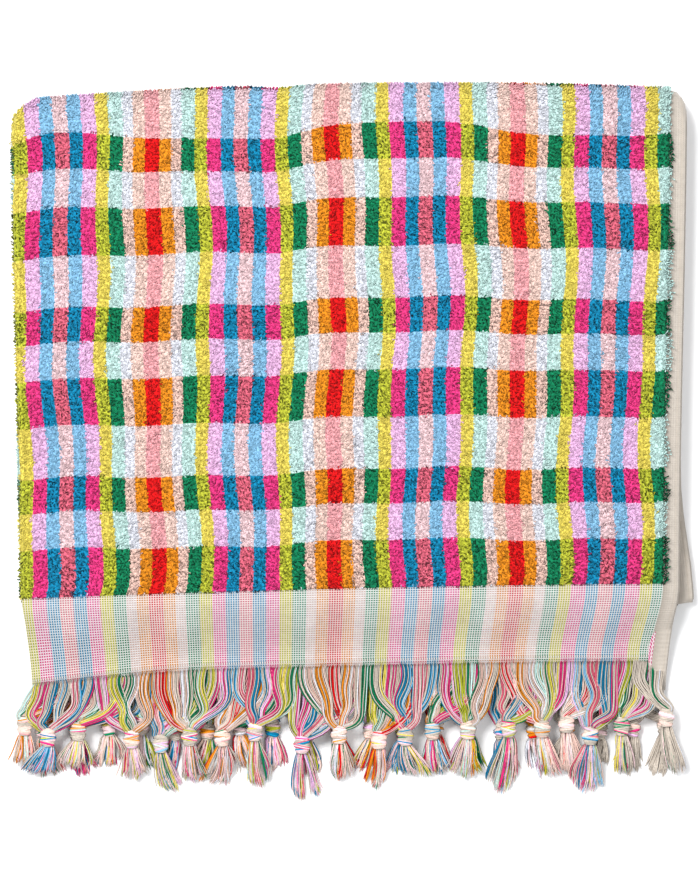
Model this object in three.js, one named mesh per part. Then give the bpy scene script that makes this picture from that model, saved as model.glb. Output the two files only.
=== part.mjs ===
// A cotton terry bath towel with a flat-woven border and a knotted fringe at each end, folded once lengthwise
// and twice crosswise, lying flat. Millimetres, +Z up. The origin is on the surface, under the middle of the
// towel's box. +Y points at the thick rounded fold, -Y at the fringe, and +X at the open selvedges.

import * as THREE from 'three';
import { mergeVertices } from 'three/addons/utils/BufferGeometryUtils.js';

const { lerp, smoothstep, clamp, degToRad } = THREE.MathUtils;

// Sizes of the cloth. One half, from its selvedge to the lengthwise fold, lies outside the other.
const cloth = {
  outerHalf: 368, // width of the half that shows
  innerHalf: 368.6, // width of the half folded under it
  selvedge: 9, // plain edge without pile
  terry: 3.0, // thickness with pile on both faces
  flat: 1.0, // thickness of border and selvedge
  pileEdge: 2.5, // width in which the pile ends
};
const gap = 0.5; // air between layers
const thinStep = 0.8; // from the middle of two thin layers to the middle of each

// Places along Y in the flat stack, before it is bent out of true
const place = {
  topFold: 198.5, // furthest point of the thick fold
  lowFold: -90, // furthest point of the fold near the fringe
  pileEnd: -77, // where the pile stops and the border starts
  clothEnd: -120.5, // end of the border
};

// Two layers make a pair. Four pairs lie on each other, counted from the surface.
const layerPitch = cloth.terry + gap;
const pairPitch = 2 * layerPitch;
const pairHalf = pairPitch / 2 - gap / 2;
const pairHeight = (pair) => pairHalf + pair * pairPitch;
const innerBend = pairPitch / 2;
const outerBend = 3 * innerBend;
const topCentre = place.topFold - outerBend - pairHalf;
const lowCentre = place.lowFold + innerBend + pairHalf;
const stackMiddle = pairHeight(1.5);

// Past the low fold the borders fall to these heights at their ends.
const fall = { start: place.pileEnd - 2, nearEnd: 5.6, farEnd: 2.4 };

// How the pair is drawn in and moved along X at each turn of the cloth. The low fold has slipped to the side,
// and the cloth leads back from there to the rest of the stack over a short way.
const slipReach = 66;
const turns = [
  { at: 'nearEnd', width: 0.955, shift: -2.2 },
  { at: 'nearPile', width: 0.9825, shift: -0.6 },
  { at: 'topFold', width: 1.006, shift: -0.85 },
  { at: 'beforeLow', width: 0.991, shift: -0.6 },
  { at: 'lowFold', width: 0.995, shift: 5.9 },
  { at: 'afterLow', width: 0.991, shift: -0.6 },
  { at: 'innerFold', width: 1.0, shift: -0.6 },
  { at: 'farPile', width: 0.98, shift: 0.0 },
  { at: 'farEnd', width: 0.955, shift: -2.0 },
];

// Unevenness of the folded stack
const lie = {
  crest: 50, // X of the furthest point of the thick fold
  topCurve: 0.00017, // how fast the thick fold falls away from its crest, per mm
  lowSlope: 8.5, // how much lower the left end of the fringe side lies
  lowPower: 1.7,
  cornerLeft: { drop: 8, along: 26 }, // how far, and from where, the thick fold draws back at its corners
  cornerRight: { drop: 5, along: 16 },
  wave: 0.014, // share of the height in the soft waves of the top
  droop: 0.14, // share of the height by which the selvedges hang
};

// Tassels of the row that shows. x and y are the middle of the knot, gathers is the width of border that
// the tassel draws in, sway is how far its skirt leans along X, and tip is the Y that the skirt reaches.
const frontTassels = [
  { x: -166.5, y: -162, gathers: 33, sway: -7, tip: -184.5 },
  { x: -120.5, y: -163, gathers: 32, sway: 1.5, tip: -187 },
  { x: -88.5, y: -161.5, gathers: 45.5, sway: 1.5, tip: -188.5 },
  { x: -52.5, y: -159, gathers: 36.5, sway: 2.5, tip: -191.5 },
  { x: -6, y: -160.5, gathers: 39.5, sway: 0, tip: -187.5 },
  { x: 30.5, y: -161.5, gathers: 38, sway: 6, tip: -185 },
  { x: 65, y: -158, gathers: 34.5, sway: -1.5, tip: -186 },
  { x: 106, y: -157, gathers: 39.5, sway: 4.5, tip: -184.5 },
  { x: 132.5, y: -161, gathers: 34.5, sway: 0, tip: -194 },
  { x: 174.5, y: -151, gathers: 17, sway: 5.5, tip: -184 },
];
// Tassels of the row just behind it, seen between the first ones. Each draws in the border around it.
const secondTassels = [
  { x: -179.5, y: -156, sway: -1.5, tip: -179 },
  { x: -150, y: -159, sway: -3, tip: -180 },
  { x: -104.5, y: -165.5, sway: 5, tip: -194 },
  { x: -70.5, y: -162, sway: -4, tip: -190 },
  { x: -26.5, y: -166, sway: 1.5, tip: -198 },
  { x: 16, y: -163.5, sway: -2, tip: -192 },
  { x: 45.5, y: -158.5, sway: 2, tip: -184 },
  { x: 87.5, y: -157, sway: -4, tip: -195 },
  { x: 119.5, y: -154.5, sway: 2, tip: -185 },
  { x: 150, y: -156, sway: 1, tip: -183 },
];
// The two rows of the far end lie under them at an even pitch, one row half a pitch from the other.
const hiddenRow = { count: 10, first: -169.5, pitch: 36.2, y: -158, uneven: 1.6, sway: 1.2, tip: -183 };

const knot = { width: 9.2, height: 6.4, length: 10, belly: 2.8, neckWidth: 6.2, neckHeight: 3.2 };
const lock = { perTassel: 3, thickness: 1.1 };
// How far a skirt's outer locks lie from its middle, and how wide each is, under the knot and at the tip
const skirt = { spreadRoot: 2.6, spreadTip: 5.8, widthRoot: 2.4, widthTip: 3.4, outerShorter: 2.5 };
const strip = { parting: 0.3, depth: 1.5, inset: 3, endMargin: 8 };

// Between these places along Y the locks of each row rise from the strip to the knots, and behind the knots
// the skirts of the near and the far rows come down again.
const rise = { from: -123, to: -153 };
const descent = { from: -169, nearTo: -188, farTo: -176, nearDrop: 1.4, farDrop: 0.6 };

// Heights of each row: its knots, the end of its skirts, and how its border half faces
const rows = [
  { name: 'fringe_top', end: 'near', side: 'outer', knotHeight: 13.6, tipHeight: 3.9, colour: 0xe9b7b4 },
  { name: 'fringe_second', end: 'near', side: 'inner', knotHeight: 11.8, tipHeight: 2.3, colour: 0xe4d7c6 },
  { name: 'fringe_third', end: 'far', side: 'inner', knotHeight: 5.0, tipHeight: 0.55, colour: 0xcfdcc8 },
  { name: 'fringe_bottom', end: 'far', side: 'outer', knotHeight: 3.2, tipHeight: 0.55, colour: 0xd8cdbd },
];

// One stretch of the crosswise folding: a straight run at one height, or a half turn. At a share t of its
// length it gives the middle of the pair and the direction in which the outer half lies.
function run(name, from, to, pair, facing) {
  const along = (t) => ({ y: lerp(from, to, t), z: pairHeight(pair), ny: 0, nz: facing });
  return { name, length: Math.abs(to - from), towardsFold: to > from, along };
}

function bend(name, y, z, radius, from, to, facing) {
  const along = (t) => {
    const angle = degToRad(lerp(from, to, t));
    const [ny, nz] = [Math.cos(angle), Math.sin(angle)];
    return { y: y + radius * ny, z: z + radius * nz, ny: facing * ny, nz: facing * nz };
  };
  return { name, length: Math.PI * radius, along };
}

const stretches = [
  run('near', place.clothEnd, topCentre, 3, 1),
  bend('top', topCentre, stackMiddle, outerBend, 90, -90, 1),
  run('base', topCentre, lowCentre, 0, -1),
  bend('low', lowCentre, pairHeight(0.5), innerBend, -90, -270, 1),
  run('middle', lowCentre, topCentre, 1, 1),
  bend('inner', topCentre, stackMiddle, innerBend, -90, 90, -1),
  run('far', topCentre, place.clothEnd, 2, -1),
];
let clothLength = 0;
for (const stretch of stretches) {
  stretch.start = clothLength;
  clothLength += stretch.length;
}
const stretchOf = (name) => stretches.find((stretch) => stretch.name === name);
const borderLength = place.pileEnd - place.clothEnd;
const turnPlaces = {
  nearEnd: 0,
  nearPile: borderLength,
  topFold: stretchOf('top').start + stretchOf('top').length / 2,
  beforeLow: stretchOf('low').start - slipReach,
  lowFold: stretchOf('low').start + stretchOf('low').length / 2,
  afterLow: stretchOf('middle').start + slipReach,
  innerFold: stretchOf('inner').start + stretchOf('inner').length / 2,
  farPile: clothLength - borderLength,
  farEnd: clothLength,
};

// The pair's middle at a length v along the cloth, with the fall of the borders
function foldedLine(v) {
  const stretch = stretches.findLast((one) => v >= one.start) ?? stretches[0];
  const point = stretch.along((v - stretch.start) / stretch.length);
  if (stretch.name === 'near' || stretch.name === 'far') {
    const end = stretch.name === 'near' ? fall.nearEnd : fall.farEnd;
    point.z = lerp(end, point.z, smoothstep(point.y, place.clothEnd, fall.start));
  }
  return point;
}

// How much pile there is at a place on the cloth, 1 on the terry and 0 on border and selvedge
function pile(u, v, ease) {
  const fromSide = Math.min(u, cloth.outerHalf + cloth.innerHalf - u) - cloth.selvedge;
  const fromEnd = Math.min(v, clothLength - v) - borderLength;
  return Math.min(smoothstep(fromSide, -ease.side, ease.within), smoothstep(fromEnd, -ease.end, ease.within));
}
const pileEase = { side: 0, end: 0, within: cloth.pileEdge };
const stepEase = { side: cloth.selvedge - 1, end: 14, within: 0 };

// A table of widths and shifts, eased from one turn to the next
function drawnIn(v) {
  const last = turns.length - 1;
  const found = turns.findLastIndex((turn) => v >= turnPlaces[turn.at]);
  const index = clamp(found, 0, last - 1);
  const [a, b] = [turns[index], turns[index + 1]];
  const t = smoothstep(v, turnPlaces[a.at], turnPlaces[b.at]);
  return { width: lerp(a.width, b.width, t), shift: lerp(a.shift, b.shift, t) };
}

// How far a corner of the thick fold is drawn back, growing with the square of the way into the corner
function cornerDrop(reach, corner) {
  return corner.drop * clamp(1 + reach / corner.along, 0, 1.2) ** 2;
}

// Bends the true stack into the uneven one
function settle(point) {
  const left = -cloth.outerHalf / 2 - 1;
  const right = cloth.outerHalf / 2 + 1;
  const { x, y } = point;
  const up = smoothstep(y, place.lowFold, place.topFold);
  const topLie = -lie.topCurve * (x - lie.crest) ** 2;
  const lowLie = -lie.lowSlope * clamp((right - x) / (right - left), 0, 1.05) ** lie.lowPower;
  const corners = cornerDrop(left - x, lie.cornerLeft) + cornerDrop(x - right, lie.cornerRight);
  point.y += lerp(lowLie, topLie, up) - corners * smoothstep(y, place.topFold - 36, place.topFold - 8);
  const waves = Math.sin(x / 52 + 0.6) * Math.cos(y / 61 - 0.4) + 0.6 * Math.sin((x + y) / 83);
  const edge = smoothstep(x, right - cloth.selvedge - 6, right);
  const calm = smoothstep(y, place.lowFold - 20, place.lowFold + 40);
  point.z *= (1 + lie.wave * waves * calm) * (1 - lie.droop * edge);
  return point;
}

// A point of the folded cloth: u across it from the outer selvedge, v along it, and face 1 outside, -1 inside
function onCloth(u, v, face) {
  const step = lerp(thinStep, layerPitch / 2, pile(u, v, stepEase));
  const off = step + (face * lerp(cloth.flat, cloth.terry, pile(u, v, pileEase))) / 2;
  const halfTurn = (Math.PI * layerPitch) / 4;
  const fromFold = u - cloth.outerHalf;
  const foldX = cloth.outerHalf / -2 + pairHalf;
  let x = foldX + Math.abs(fromFold) - halfTurn;
  let depth = -Math.sign(fromFold) * off;
  if (Math.abs(fromFold) < halfTurn) {
    const angle = (fromFold / halfTurn) * (Math.PI / 2);
    x = foldX - Math.cos(angle) * off;
    depth = -Math.sin(angle) * off;
  }
  const line = foldedLine(v);
  const { width, shift } = drawnIn(v);
  return settle(new THREE.Vector3(x * width + shift, line.y + line.ny * depth, line.z + line.nz * depth));
}

// A closed skin, gathered face by face
class Skin {
  constructor() {
    this.corners = [];
  }

  quad(a, b, c, d) {
    this.corners.push(a, b, c, a, c, d);
  }

  // Joins each ring of points to the next one
  tube(rings) {
    for (let k = 0; k + 1 < rings.length; k += 1) {
      const [near, far] = [rings[k], rings[k + 1]];
      near.forEach((point, i) => {
        const next = (i + 1) % near.length;
        this.quad(point, near[next], far[next], far[i]);
      });
    }
  }

  mesh(name, colour, roughness) {
    const loose = new THREE.BufferGeometry().setFromPoints(this.corners);
    const geometry = mergeVertices(loose, 1e-4);
    geometry.computeVertexNormals();
    const material = new THREE.MeshStandardMaterial({ color: colour, roughness, metalness: 0 });
    const mesh = new THREE.Mesh(geometry, material);
    mesh.name = name;
    return mesh;
  }
}

// Even steps from one value to another, without the last
function steps(from, to, count) {
  return Array.from({ length: count }, (_, i) => lerp(from, to, i / count));
}

// Stations across the cloth: close together at the selvedges and round the lengthwise fold, and at the same
// distances from it in both halves, so that these stay parallel
function stationsAcross() {
  const halfTurn = (Math.PI * layerPitch) / 4;
  const fold = cloth.outerHalf;
  const whole = cloth.outerHalf + cloth.innerHalf;
  const rim = [0, cloth.selvedge, cloth.selvedge + cloth.pileEdge];
  const field = [354, 300, 240, 180, 115, 60, 28, 12];
  return [
    ...rim,
    ...field.map((distance) => fold - distance),
    ...steps(fold - halfTurn, fold + halfTurn, 6),
    fold + halfTurn,
    ...field.map((distance) => fold + distance).reverse(),
    ...rim.map((u) => whole - u).reverse(),
  ];
}

// Stations along the cloth. All straight runs share the same places, so that the layers stay parallel.
function stationsAlong() {
  const border = [0, 11, 20, 28, 34, 39.5, borderLength, borderLength + cloth.pileEdge];
  const field = [-40, 8, 56, 104, 146];
  const found = [...border, ...border.map((v) => clothLength - v)];
  for (const { name, start, length, towardsFold } of stretches) {
    const end = start + length;
    const segments = { top: 8, low: 6, inner: 6 }[name];
    if (segments) {
      found.push(...steps(start, end, segments), end);
    } else {
      found.push(...field.map((y) => (towardsFold ? end - (topCentre - y) : start + (topCentre - y))));
    }
  }
  return found.sort((a, b) => a - b);
}

function towelCloth() {
  const across = stationsAcross();
  const along = stationsAlong();
  const face = (side) => along.map((v) => across.map((u) => onCloth(u, v, side)));
  const [outer, inner] = [face(1), face(-1)];
  const skin = new Skin();
  const [lastV, lastU] = [along.length - 1, across.length - 1];
  for (let j = 0; j < lastV; j += 1) {
    for (let i = 0; i < lastU; i += 1) {
      skin.quad(outer[j][i], outer[j + 1][i], outer[j + 1][i + 1], outer[j][i + 1]);
      skin.quad(inner[j][i], inner[j][i + 1], inner[j + 1][i + 1], inner[j + 1][i]);
    }
    skin.quad(outer[j][0], inner[j][0], inner[j + 1][0], outer[j + 1][0]);
    skin.quad(outer[j + 1][lastU], inner[j + 1][lastU], inner[j][lastU], outer[j][lastU]);
  }
  for (let i = 0; i < lastU; i += 1) {
    skin.quad(outer[0][i + 1], inner[0][i + 1], inner[0][i], outer[0][i]);
    skin.quad(outer[lastV][i], inner[lastV][i], inner[lastV][i + 1], outer[lastV][i + 1]);
  }
  return skin.mesh('towel_cloth', 0xe6b5a6, 0.95);
}

// The tassels of a row, with the stretch of its strip that each draws in, counted from its left end
function tasselsOf(row) {
  const hidden = row.end === 'far';
  const offset = row.side === 'inner' ? 0 : hiddenRow.pitch / 2;
  const hiddenTassel = (_, i) => ({
    x: hiddenRow.first + offset + i * hiddenRow.pitch,
    y: hiddenRow.y + hiddenRow.uneven * Math.sin(i * 2.4 + offset),
    sway: hiddenRow.sway * Math.cos(i * 1.9 + offset),
    tip: hiddenRow.tip - 2 * hiddenRow.uneven * Math.cos(i * 2.9 + offset),
  });
  const shown = row.side === 'outer' ? frontTassels : secondTassels;
  return hidden ? Array.from({ length: hiddenRow.count }, hiddenTassel) : shown;
}

// Where the roots of the locks part along the strip, as shares of its length: at the widths that the tassels
// gather, or half way between the knots where none are given
function rootShares(tassels) {
  const edges = [0];
  const first = tassels[0].x - strip.endMargin;
  tassels.forEach((tassel, i) => {
    const halfWay = (tassel.x + (tassels[i + 1]?.x ?? tassel.x + 2 * strip.endMargin)) / 2 - first;
    edges.push(tassel.gathers ? edges[i] + tassel.gathers : halfWay);
  });
  const whole = edges.at(-1);
  const parted = tassels.flatMap((_, i) => steps(edges[i] / whole, edges[i + 1] / whole, lock.perTassel));
  return [...parted, 1];
}

// The strip at the end of one half of the border: its bottom and top points at a share of its length
function stripPoints(row, share, beyond) {
  const v = row.end === 'near' ? -beyond : clothLength + beyond;
  const whole = cloth.outerHalf + cloth.innerHalf;
  const outer = row.side === 'outer';
  const open = outer ? strip.inset : whole - strip.inset;
  const folded = cloth.outerHalf + (outer ? -1 : 1) * (strip.inset + 1);
  const u = lerp(folded, open, share);
  const points = [onCloth(u, v, 1), onCloth(u, v, -1)];
  return points.sort((a, b) => a.z - b.z);
}

// The ring of a knot: its bottom points from left to right, then its top points from right to left
function knotRing(tassel, row, y, width, height) {
  const shape = [-1, -1 / 3, 1 / 3, 1].map((t) => ({ x: t, z: Math.abs(t) === 1 ? 0.5 : 1 }));
  const at = (p, side) =>
    new THREE.Vector3(tassel.x + (p.x * width) / 2, y, row.knotHeight + (side * p.z * height) / 2);
  return [...shape.map((p) => at(p, -1)), ...shape.map((p) => at(p, 1)).reverse()];
}

// The four corners, of a ring of eight, between two neighbouring columns
const cell = (ring, column) => [ring[column], ring[column + 1], ring[6 - column], ring[7 - column]];

// A ring part of the way from a lock's root to its knot, narrowed about its own middle. It rises with Y
// alone, so that the rows stay over each other.
function gatherRing(row, root, end, t, width, thickness) {
  const ring = root.map((point, i) => point.clone().lerp(end[i], t));
  const middle = new THREE.Vector3();
  for (const point of ring) middle.addScaledVector(point, 1 / ring.length);
  const rootHeight = (root[0].z + root[2].z) / 2;
  const height = lerp(rootHeight, row.knotHeight, smoothstep(-middle.y, -rise.from, -rise.to));
  ring.forEach((point, i) => {
    point.x = middle.x + (point.x - middle.x) * width;
    point.z = height + (i < 2 ? -thickness / 2 : thickness / 2);
  });
  return ring;
}

// Height of a row's skirts at a given Y: level with the knots, then down to lie on what is below
function skirtHeight(row, y) {
  const near = row.end === 'near';
  const start = row.knotHeight - (near ? descent.nearDrop : descent.farDrop);
  return lerp(row.tipHeight, start, smoothstep(y, near ? descent.nearTo : descent.farTo, descent.from));
}

function skirtRing(row, x, y, width) {
  const z = skirtHeight(row, y);
  const [w, t] = [width / 2, lock.thickness / 2];
  const corners = [[-w, -t], [w, -t], [w, t], [-w, t]];
  return corners.map(([dx, dz]) => new THREE.Vector3(x + dx, y, z + dz));
}

// The strip, open in front, where each lock grows out of it
function stripSkin(skin, back, front) {
  const last = back.length - 1;
  for (let k = 0; k < last; k += 1) {
    skin.quad(back[k][0], back[k + 1][0], front[k + 1][0], front[k][0]);
    skin.quad(front[k][1], front[k + 1][1], back[k + 1][1], back[k][1]);
    skin.quad(back[k][1], back[k + 1][1], back[k + 1][0], back[k][0]);
  }
  skin.quad(back[0][0], front[0][0], front[0][1], back[0][1]);
  skin.quad(back[last][1], front[last][1], front[last][0], back[last][0]);
}

// One lock of a skirt, from its cell under the knot to its blunt tip. lean is -1, 0 or 1 across the skirt.
function skirtLock(skin, row, tassel, start, lean) {
  const foot = tassel.y - knot.length / 2;
  const reach = foot - tassel.tip - skirt.outerShorter * Math.abs(lean);
  const rings = [0.3, 0.62, 1].map((t) => {
    const x = tassel.x + lean * lerp(skirt.spreadRoot, skirt.spreadTip, t) + tassel.sway * t ** 1.3;
    return skirtRing(row, x, foot - reach * t, lerp(skirt.widthRoot, skirt.widthTip, t));
  });
  skin.tube([start, ...rings]);
  skin.quad(...rings.at(-1));
}

// Three locks gathered from the strip, a knot, and the three locks of the skirt
function tasselSkin(skin, row, tassel, roots) {
  const ringAt = (offset, width, height) => knotRing(tassel, row, tassel.y + offset, width, height);
  const neck = ringAt(knot.length / 2, knot.neckWidth, knot.neckHeight);
  const foot = ringAt(-knot.length / 2, knot.neckWidth, knot.neckHeight);
  const belly = [knot.belly, -knot.belly].map((offset) => ringAt(offset, knot.width, knot.height));
  skin.tube([neck, ...belly, foot]);
  roots.forEach((root, column) => {
    const end = cell(neck, column);
    const spread = gatherRing(row, root, end, 0.4, 0.72, lock.thickness);
    const drawn = gatherRing(row, root, end, 0.75, 0.85, lock.thickness + 0.1);
    skin.tube([root, spread, drawn, end]);
    skirtLock(skin, row, tassel, cell(foot, column), column - 1);
  });
}

function fringe(row) {
  const skin = new Skin();
  const tassels = tasselsOf(row);
  const shares = rootShares(tassels);
  const back = shares.map((share) => stripPoints(row, share, strip.parting));
  const front = shares.map((share) => stripPoints(row, share, strip.parting + strip.depth));
  stripSkin(skin, back, front);
  const roots = front.slice(1).map((right, k) => [front[k][0], right[0], right[1], front[k][1]]);
  tassels.forEach((tassel, i) => {
    tasselSkin(skin, row, tassel, roots.slice(i * lock.perTassel, (i + 1) * lock.perTassel));
  });
  return skin.mesh(row.name, row.colour, 0.85);
}

const towel = new THREE.Group();
towel.add(towelCloth(), ...rows.map(fringe));

// The origin goes under the middle of the whole towel's box.
const box = new THREE.Box3().setFromObject(towel);
const centre = box.getCenter(new THREE.Vector3());
towel.position.set(-centre.x, -centre.y, -box.min.z);
towel.updateMatrixWorld(true);

export default towel;
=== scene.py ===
"""A folded turkish towel of cotton terry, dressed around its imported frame.

The towel is one piece of cloth, folded once lengthwise and twice crosswise. Its terry field has a check of
dyed yarns, deep in one band and pale in the next, its ends are flat-woven borders, and its warp ends are
knotted into tassels. Lengths are in millimetres here and become metres where a mesh is made.
"""

import logging
import math
from dataclasses import dataclass, field
from enum import Enum
from functools import partial
from typing import Any, Iterable, Sequence

import bpy
import numpy as np
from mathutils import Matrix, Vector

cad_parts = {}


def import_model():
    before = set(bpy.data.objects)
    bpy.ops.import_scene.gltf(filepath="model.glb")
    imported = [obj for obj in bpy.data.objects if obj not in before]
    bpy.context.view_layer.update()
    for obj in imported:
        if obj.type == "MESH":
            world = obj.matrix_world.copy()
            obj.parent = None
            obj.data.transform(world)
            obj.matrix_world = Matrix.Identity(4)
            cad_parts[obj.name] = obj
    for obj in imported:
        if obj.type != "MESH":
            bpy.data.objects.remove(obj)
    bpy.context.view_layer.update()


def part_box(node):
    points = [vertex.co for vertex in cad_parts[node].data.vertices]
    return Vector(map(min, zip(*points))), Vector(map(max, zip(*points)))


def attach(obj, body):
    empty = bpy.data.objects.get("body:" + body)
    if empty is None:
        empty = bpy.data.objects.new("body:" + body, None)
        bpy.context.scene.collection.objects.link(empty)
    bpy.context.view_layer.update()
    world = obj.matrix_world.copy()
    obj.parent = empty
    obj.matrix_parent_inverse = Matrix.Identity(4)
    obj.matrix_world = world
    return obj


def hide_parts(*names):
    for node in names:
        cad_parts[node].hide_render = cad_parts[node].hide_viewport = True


LOG = logging.getLogger("towel")
Array = np.ndarray
Node = bpy.types.ShaderNode
METRES = 0.001
CLOTH_MAP = "ClothPlace"  # the map of places on the flat cloth
INNER_FACE = "inner_face"  # 1 on the cloth's inner face, 0 on its outer one
PAINTED_SHADE = "depth"  # how deep a point is painted in shade, where its neighbours would shade it
FLOOR_GAP = 0.02  # how near the floor a yarn may come
COLOURS = {"data_type": "RGBA"}  # what makes a Mix node mix colours
UP = np.array([0.03, 0.11, 1.0])  # near enough straight up, and never quite along a yarn


# Small helpers for numbers


def mix(a: Any, b: Any, t: Any) -> Any:
    """Go from a to b by the share t."""
    return a + (b - a) * t


def ease(x: Any, low: float, high: float) -> Any:
    """Rise smoothly from 0 at low to 1 at high."""
    t = np.clip((x - low) / (high - low), 0.0, 1.0)
    return t * t * (3.0 - 2.0 * t)


def unit(vectors: Array) -> Array:
    """Scale each row to length 1."""
    return vectors / np.maximum(np.linalg.norm(vectors, axis=-1, keepdims=True), 1e-9)


def linear(hex_colour: str) -> tuple[float, float, float, float]:
    """Turn an sRGB hex colour into linear values.

    Args:
        hex_colour: Six digits after a hash.

    Returns:
        Red, green, blue and a full alpha.
    """
    parts = [int(hex_colour[i : i + 2], 16) / 255.0 for i in (1, 3, 5)]
    red, green, blue = [p / 12.92 if p <= 0.04045 else ((p + 0.055) / 1.055) ** 2.4 for p in parts]
    return (red, green, blue, 1.0)


# The dyed yarns and the sett that they are woven in


class Dye(Enum):
    """The dyed yarns, each with its deep and its pale shade."""

    RED = ("red", "#F01216", "#F8B0B5")
    ORANGE = ("orange", "#F89A1F", "#F6D6CA")
    PEACH = ("peach", "#F8D0C1", "#E9EBF4")
    GREEN = ("green", "#0A8A5C", "#CBECE6")
    CHARTREUSE = ("chartreuse", "#CACF3D", "#EEDB60")
    MAGENTA = ("magenta", "#F83F8C", "#F4C3EC")
    TEAL = ("teal", "#0A90BE", "#8FC7EA")
    ROSE = ("rose", "#F27088", "#F4D2D6")

    @property
    def word(self) -> str:
        """The plain name of the dye."""
        return self.value[0]


CREAM = "#B7AEA3"  # the plain selvedge
HEM = "#A99C8C"  # its hem line
SHADED = "#857C72"  # the selvedge where the pile shades it
CREAM_YARN = "#CABFB2"  # the undyed yarn of the fringe
WHITE = "#C1BCB7"  # the undyed yarn between the dyed ends of the border
DARKER = 0.42  # how dark a dyed end looks in the border, against the same dye in the pile
DYES = list(Dye)
PALE = len(DYES)  # what is added to a dye's number for its pale shade
UNDYED = 2 * len(DYES)  # the number of the cream yarn
SOFT = (DYES.index(Dye.ROSE) + PALE, DYES.index(Dye.ORANGE) + PALE)  # the shades nearest to undyed yarn
DEEP_GAP_SHADE = (Dye.GREEN, Dye.CHARTREUSE, Dye.TEAL, Dye.ROSE)  # dyes whose deep loops get deeper painted shade between them


@dataclass(frozen=True)
class Sett:
    """The order and widths of the stripes, which turn back at both ends, and the heights of the bands.

    Attributes:
        stripes: Each dye with the width of its stripe. The first and the last are half stripes.
        bands: Heights of the bands in turn, the first of them deep.
        start: Where along the cloth's width the order begins.
    """

    stripes: tuple[tuple[Dye, float], ...] = (
        (Dye.RED, 4.0),
        (Dye.ORANGE, 6.6),
        (Dye.PEACH, 5.8),
        (Dye.GREEN, 7.6),
        (Dye.CHARTREUSE, 7.0),
        (Dye.MAGENTA, 8.0),
        (Dye.TEAL, 7.2),
        (Dye.ROSE, 4.0),
    )
    bands: tuple[float, ...] = (25.5, 20.0, 19.0, 28.3)
    start: float = 9.0

    @property
    def order(self) -> float:
        """Width of the order once through."""
        return sum(width for _, width in self.stripes)

    @property
    def ends(self) -> list[float]:
        """Where each stripe ends, as a share of the order."""
        return list(np.cumsum([width for _, width in self.stripes]) / self.order)

    @property
    def repeat(self) -> float:
        """Height of all the bands together."""
        return sum(self.bands)

    @property
    def band_ends(self) -> list[float]:
        """Where each band ends, as a share of the repeat."""
        return list(np.cumsum(self.bands) / self.repeat)

    def worn(self, u: Array, v: Array) -> tuple[Array, Array]:
        """Find which places of the even weave lie, leaning in the soft pile, at places of the cloth.

        Args:
            u: Places across the cloth.
            v: Places along the cloth.

        Returns:
            The places of the even weave that are seen there.
        """
        aside = 1.3 * np.sin(v / 31 + 1.7 * np.sin(u / 90)) + 0.9 * np.sin(v / 12.7 + u / 37 + 1.2)
        along = (1.0 + 3.6 * ease(v, 230, 318)) * np.cos((u - 58) / 30.9) + 0.7 * np.sin(u / 11.3)
        return u + aside, v + along

    def dye_at(self, u: Array) -> Array:
        """Find the dye at each place across the cloth.

        Args:
            u: Places across the cloth.

        Returns:
            Numbers into DYES.
        """
        share = np.mod(u + self.start, 2 * self.order) / self.order
        share = np.where(share > 1.0, 2.0 - share, share)
        found = np.searchsorted(self.ends, share).clip(0, len(self.stripes) - 1)
        numbers = np.array([DYES.index(dye) for dye, _ in self.stripes])
        return numbers[found]

    def is_deep(self, v: Array) -> Array:
        """Whether each place along the cloth, counted from the first band, is in a deep band."""
        share = np.mod(v, self.repeat) / self.repeat
        return np.searchsorted(self.band_ends, share) % 2 == 0


# How the cloth is folded


@dataclass(frozen=True)
class Stretch:
    """A straight run or a half turn of the crosswise folding.

    Attributes:
        name: Its plain name.
        start: Where along the cloth it begins.
        length: How long it is.
        y: Where it starts along Y, or the middle of the turn.
        z: Its height, or the height of the turn's middle.
        way: 1 or -1 for a run towards or away from the thick fold, 0 for a turn.
        radius: The turn's radius.
        turn: The turn's first and last angle, in degrees.
        facing: 1 if the outer half lies above a run or outside a turn, or else -1.
    """

    name: str
    start: float
    length: float
    y: float
    z: float
    way: int = 0
    radius: float = 0.0
    turn: tuple[float, float] = (0.0, 0.0)
    facing: int = 1

    def middle(self, v: Array) -> tuple[Array, Array, Array, Array]:
        """Follow the middle of the two layers.

        Args:
            v: Places along the cloth.

        Returns:
            Y, Z and the two parts of the direction towards the outer half.
        """
        along = v - self.start
        if self.way:
            flat = np.zeros_like(v)
            return self.y + self.way * along, flat + self.z, flat, flat + self.facing
        angle = np.radians(mix(self.turn[0], self.turn[1], along / self.length))
        out_y, out_z = np.cos(angle), np.sin(angle)
        y, z = self.y + self.radius * out_y, self.z + self.radius * out_z
        return y, z, self.facing * out_y, self.facing * out_z


@dataclass(frozen=True)
class Turn:
    """How the cloth is drawn in and moved along X at one place of the folding."""

    at: float
    width: float
    shift: float


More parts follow.
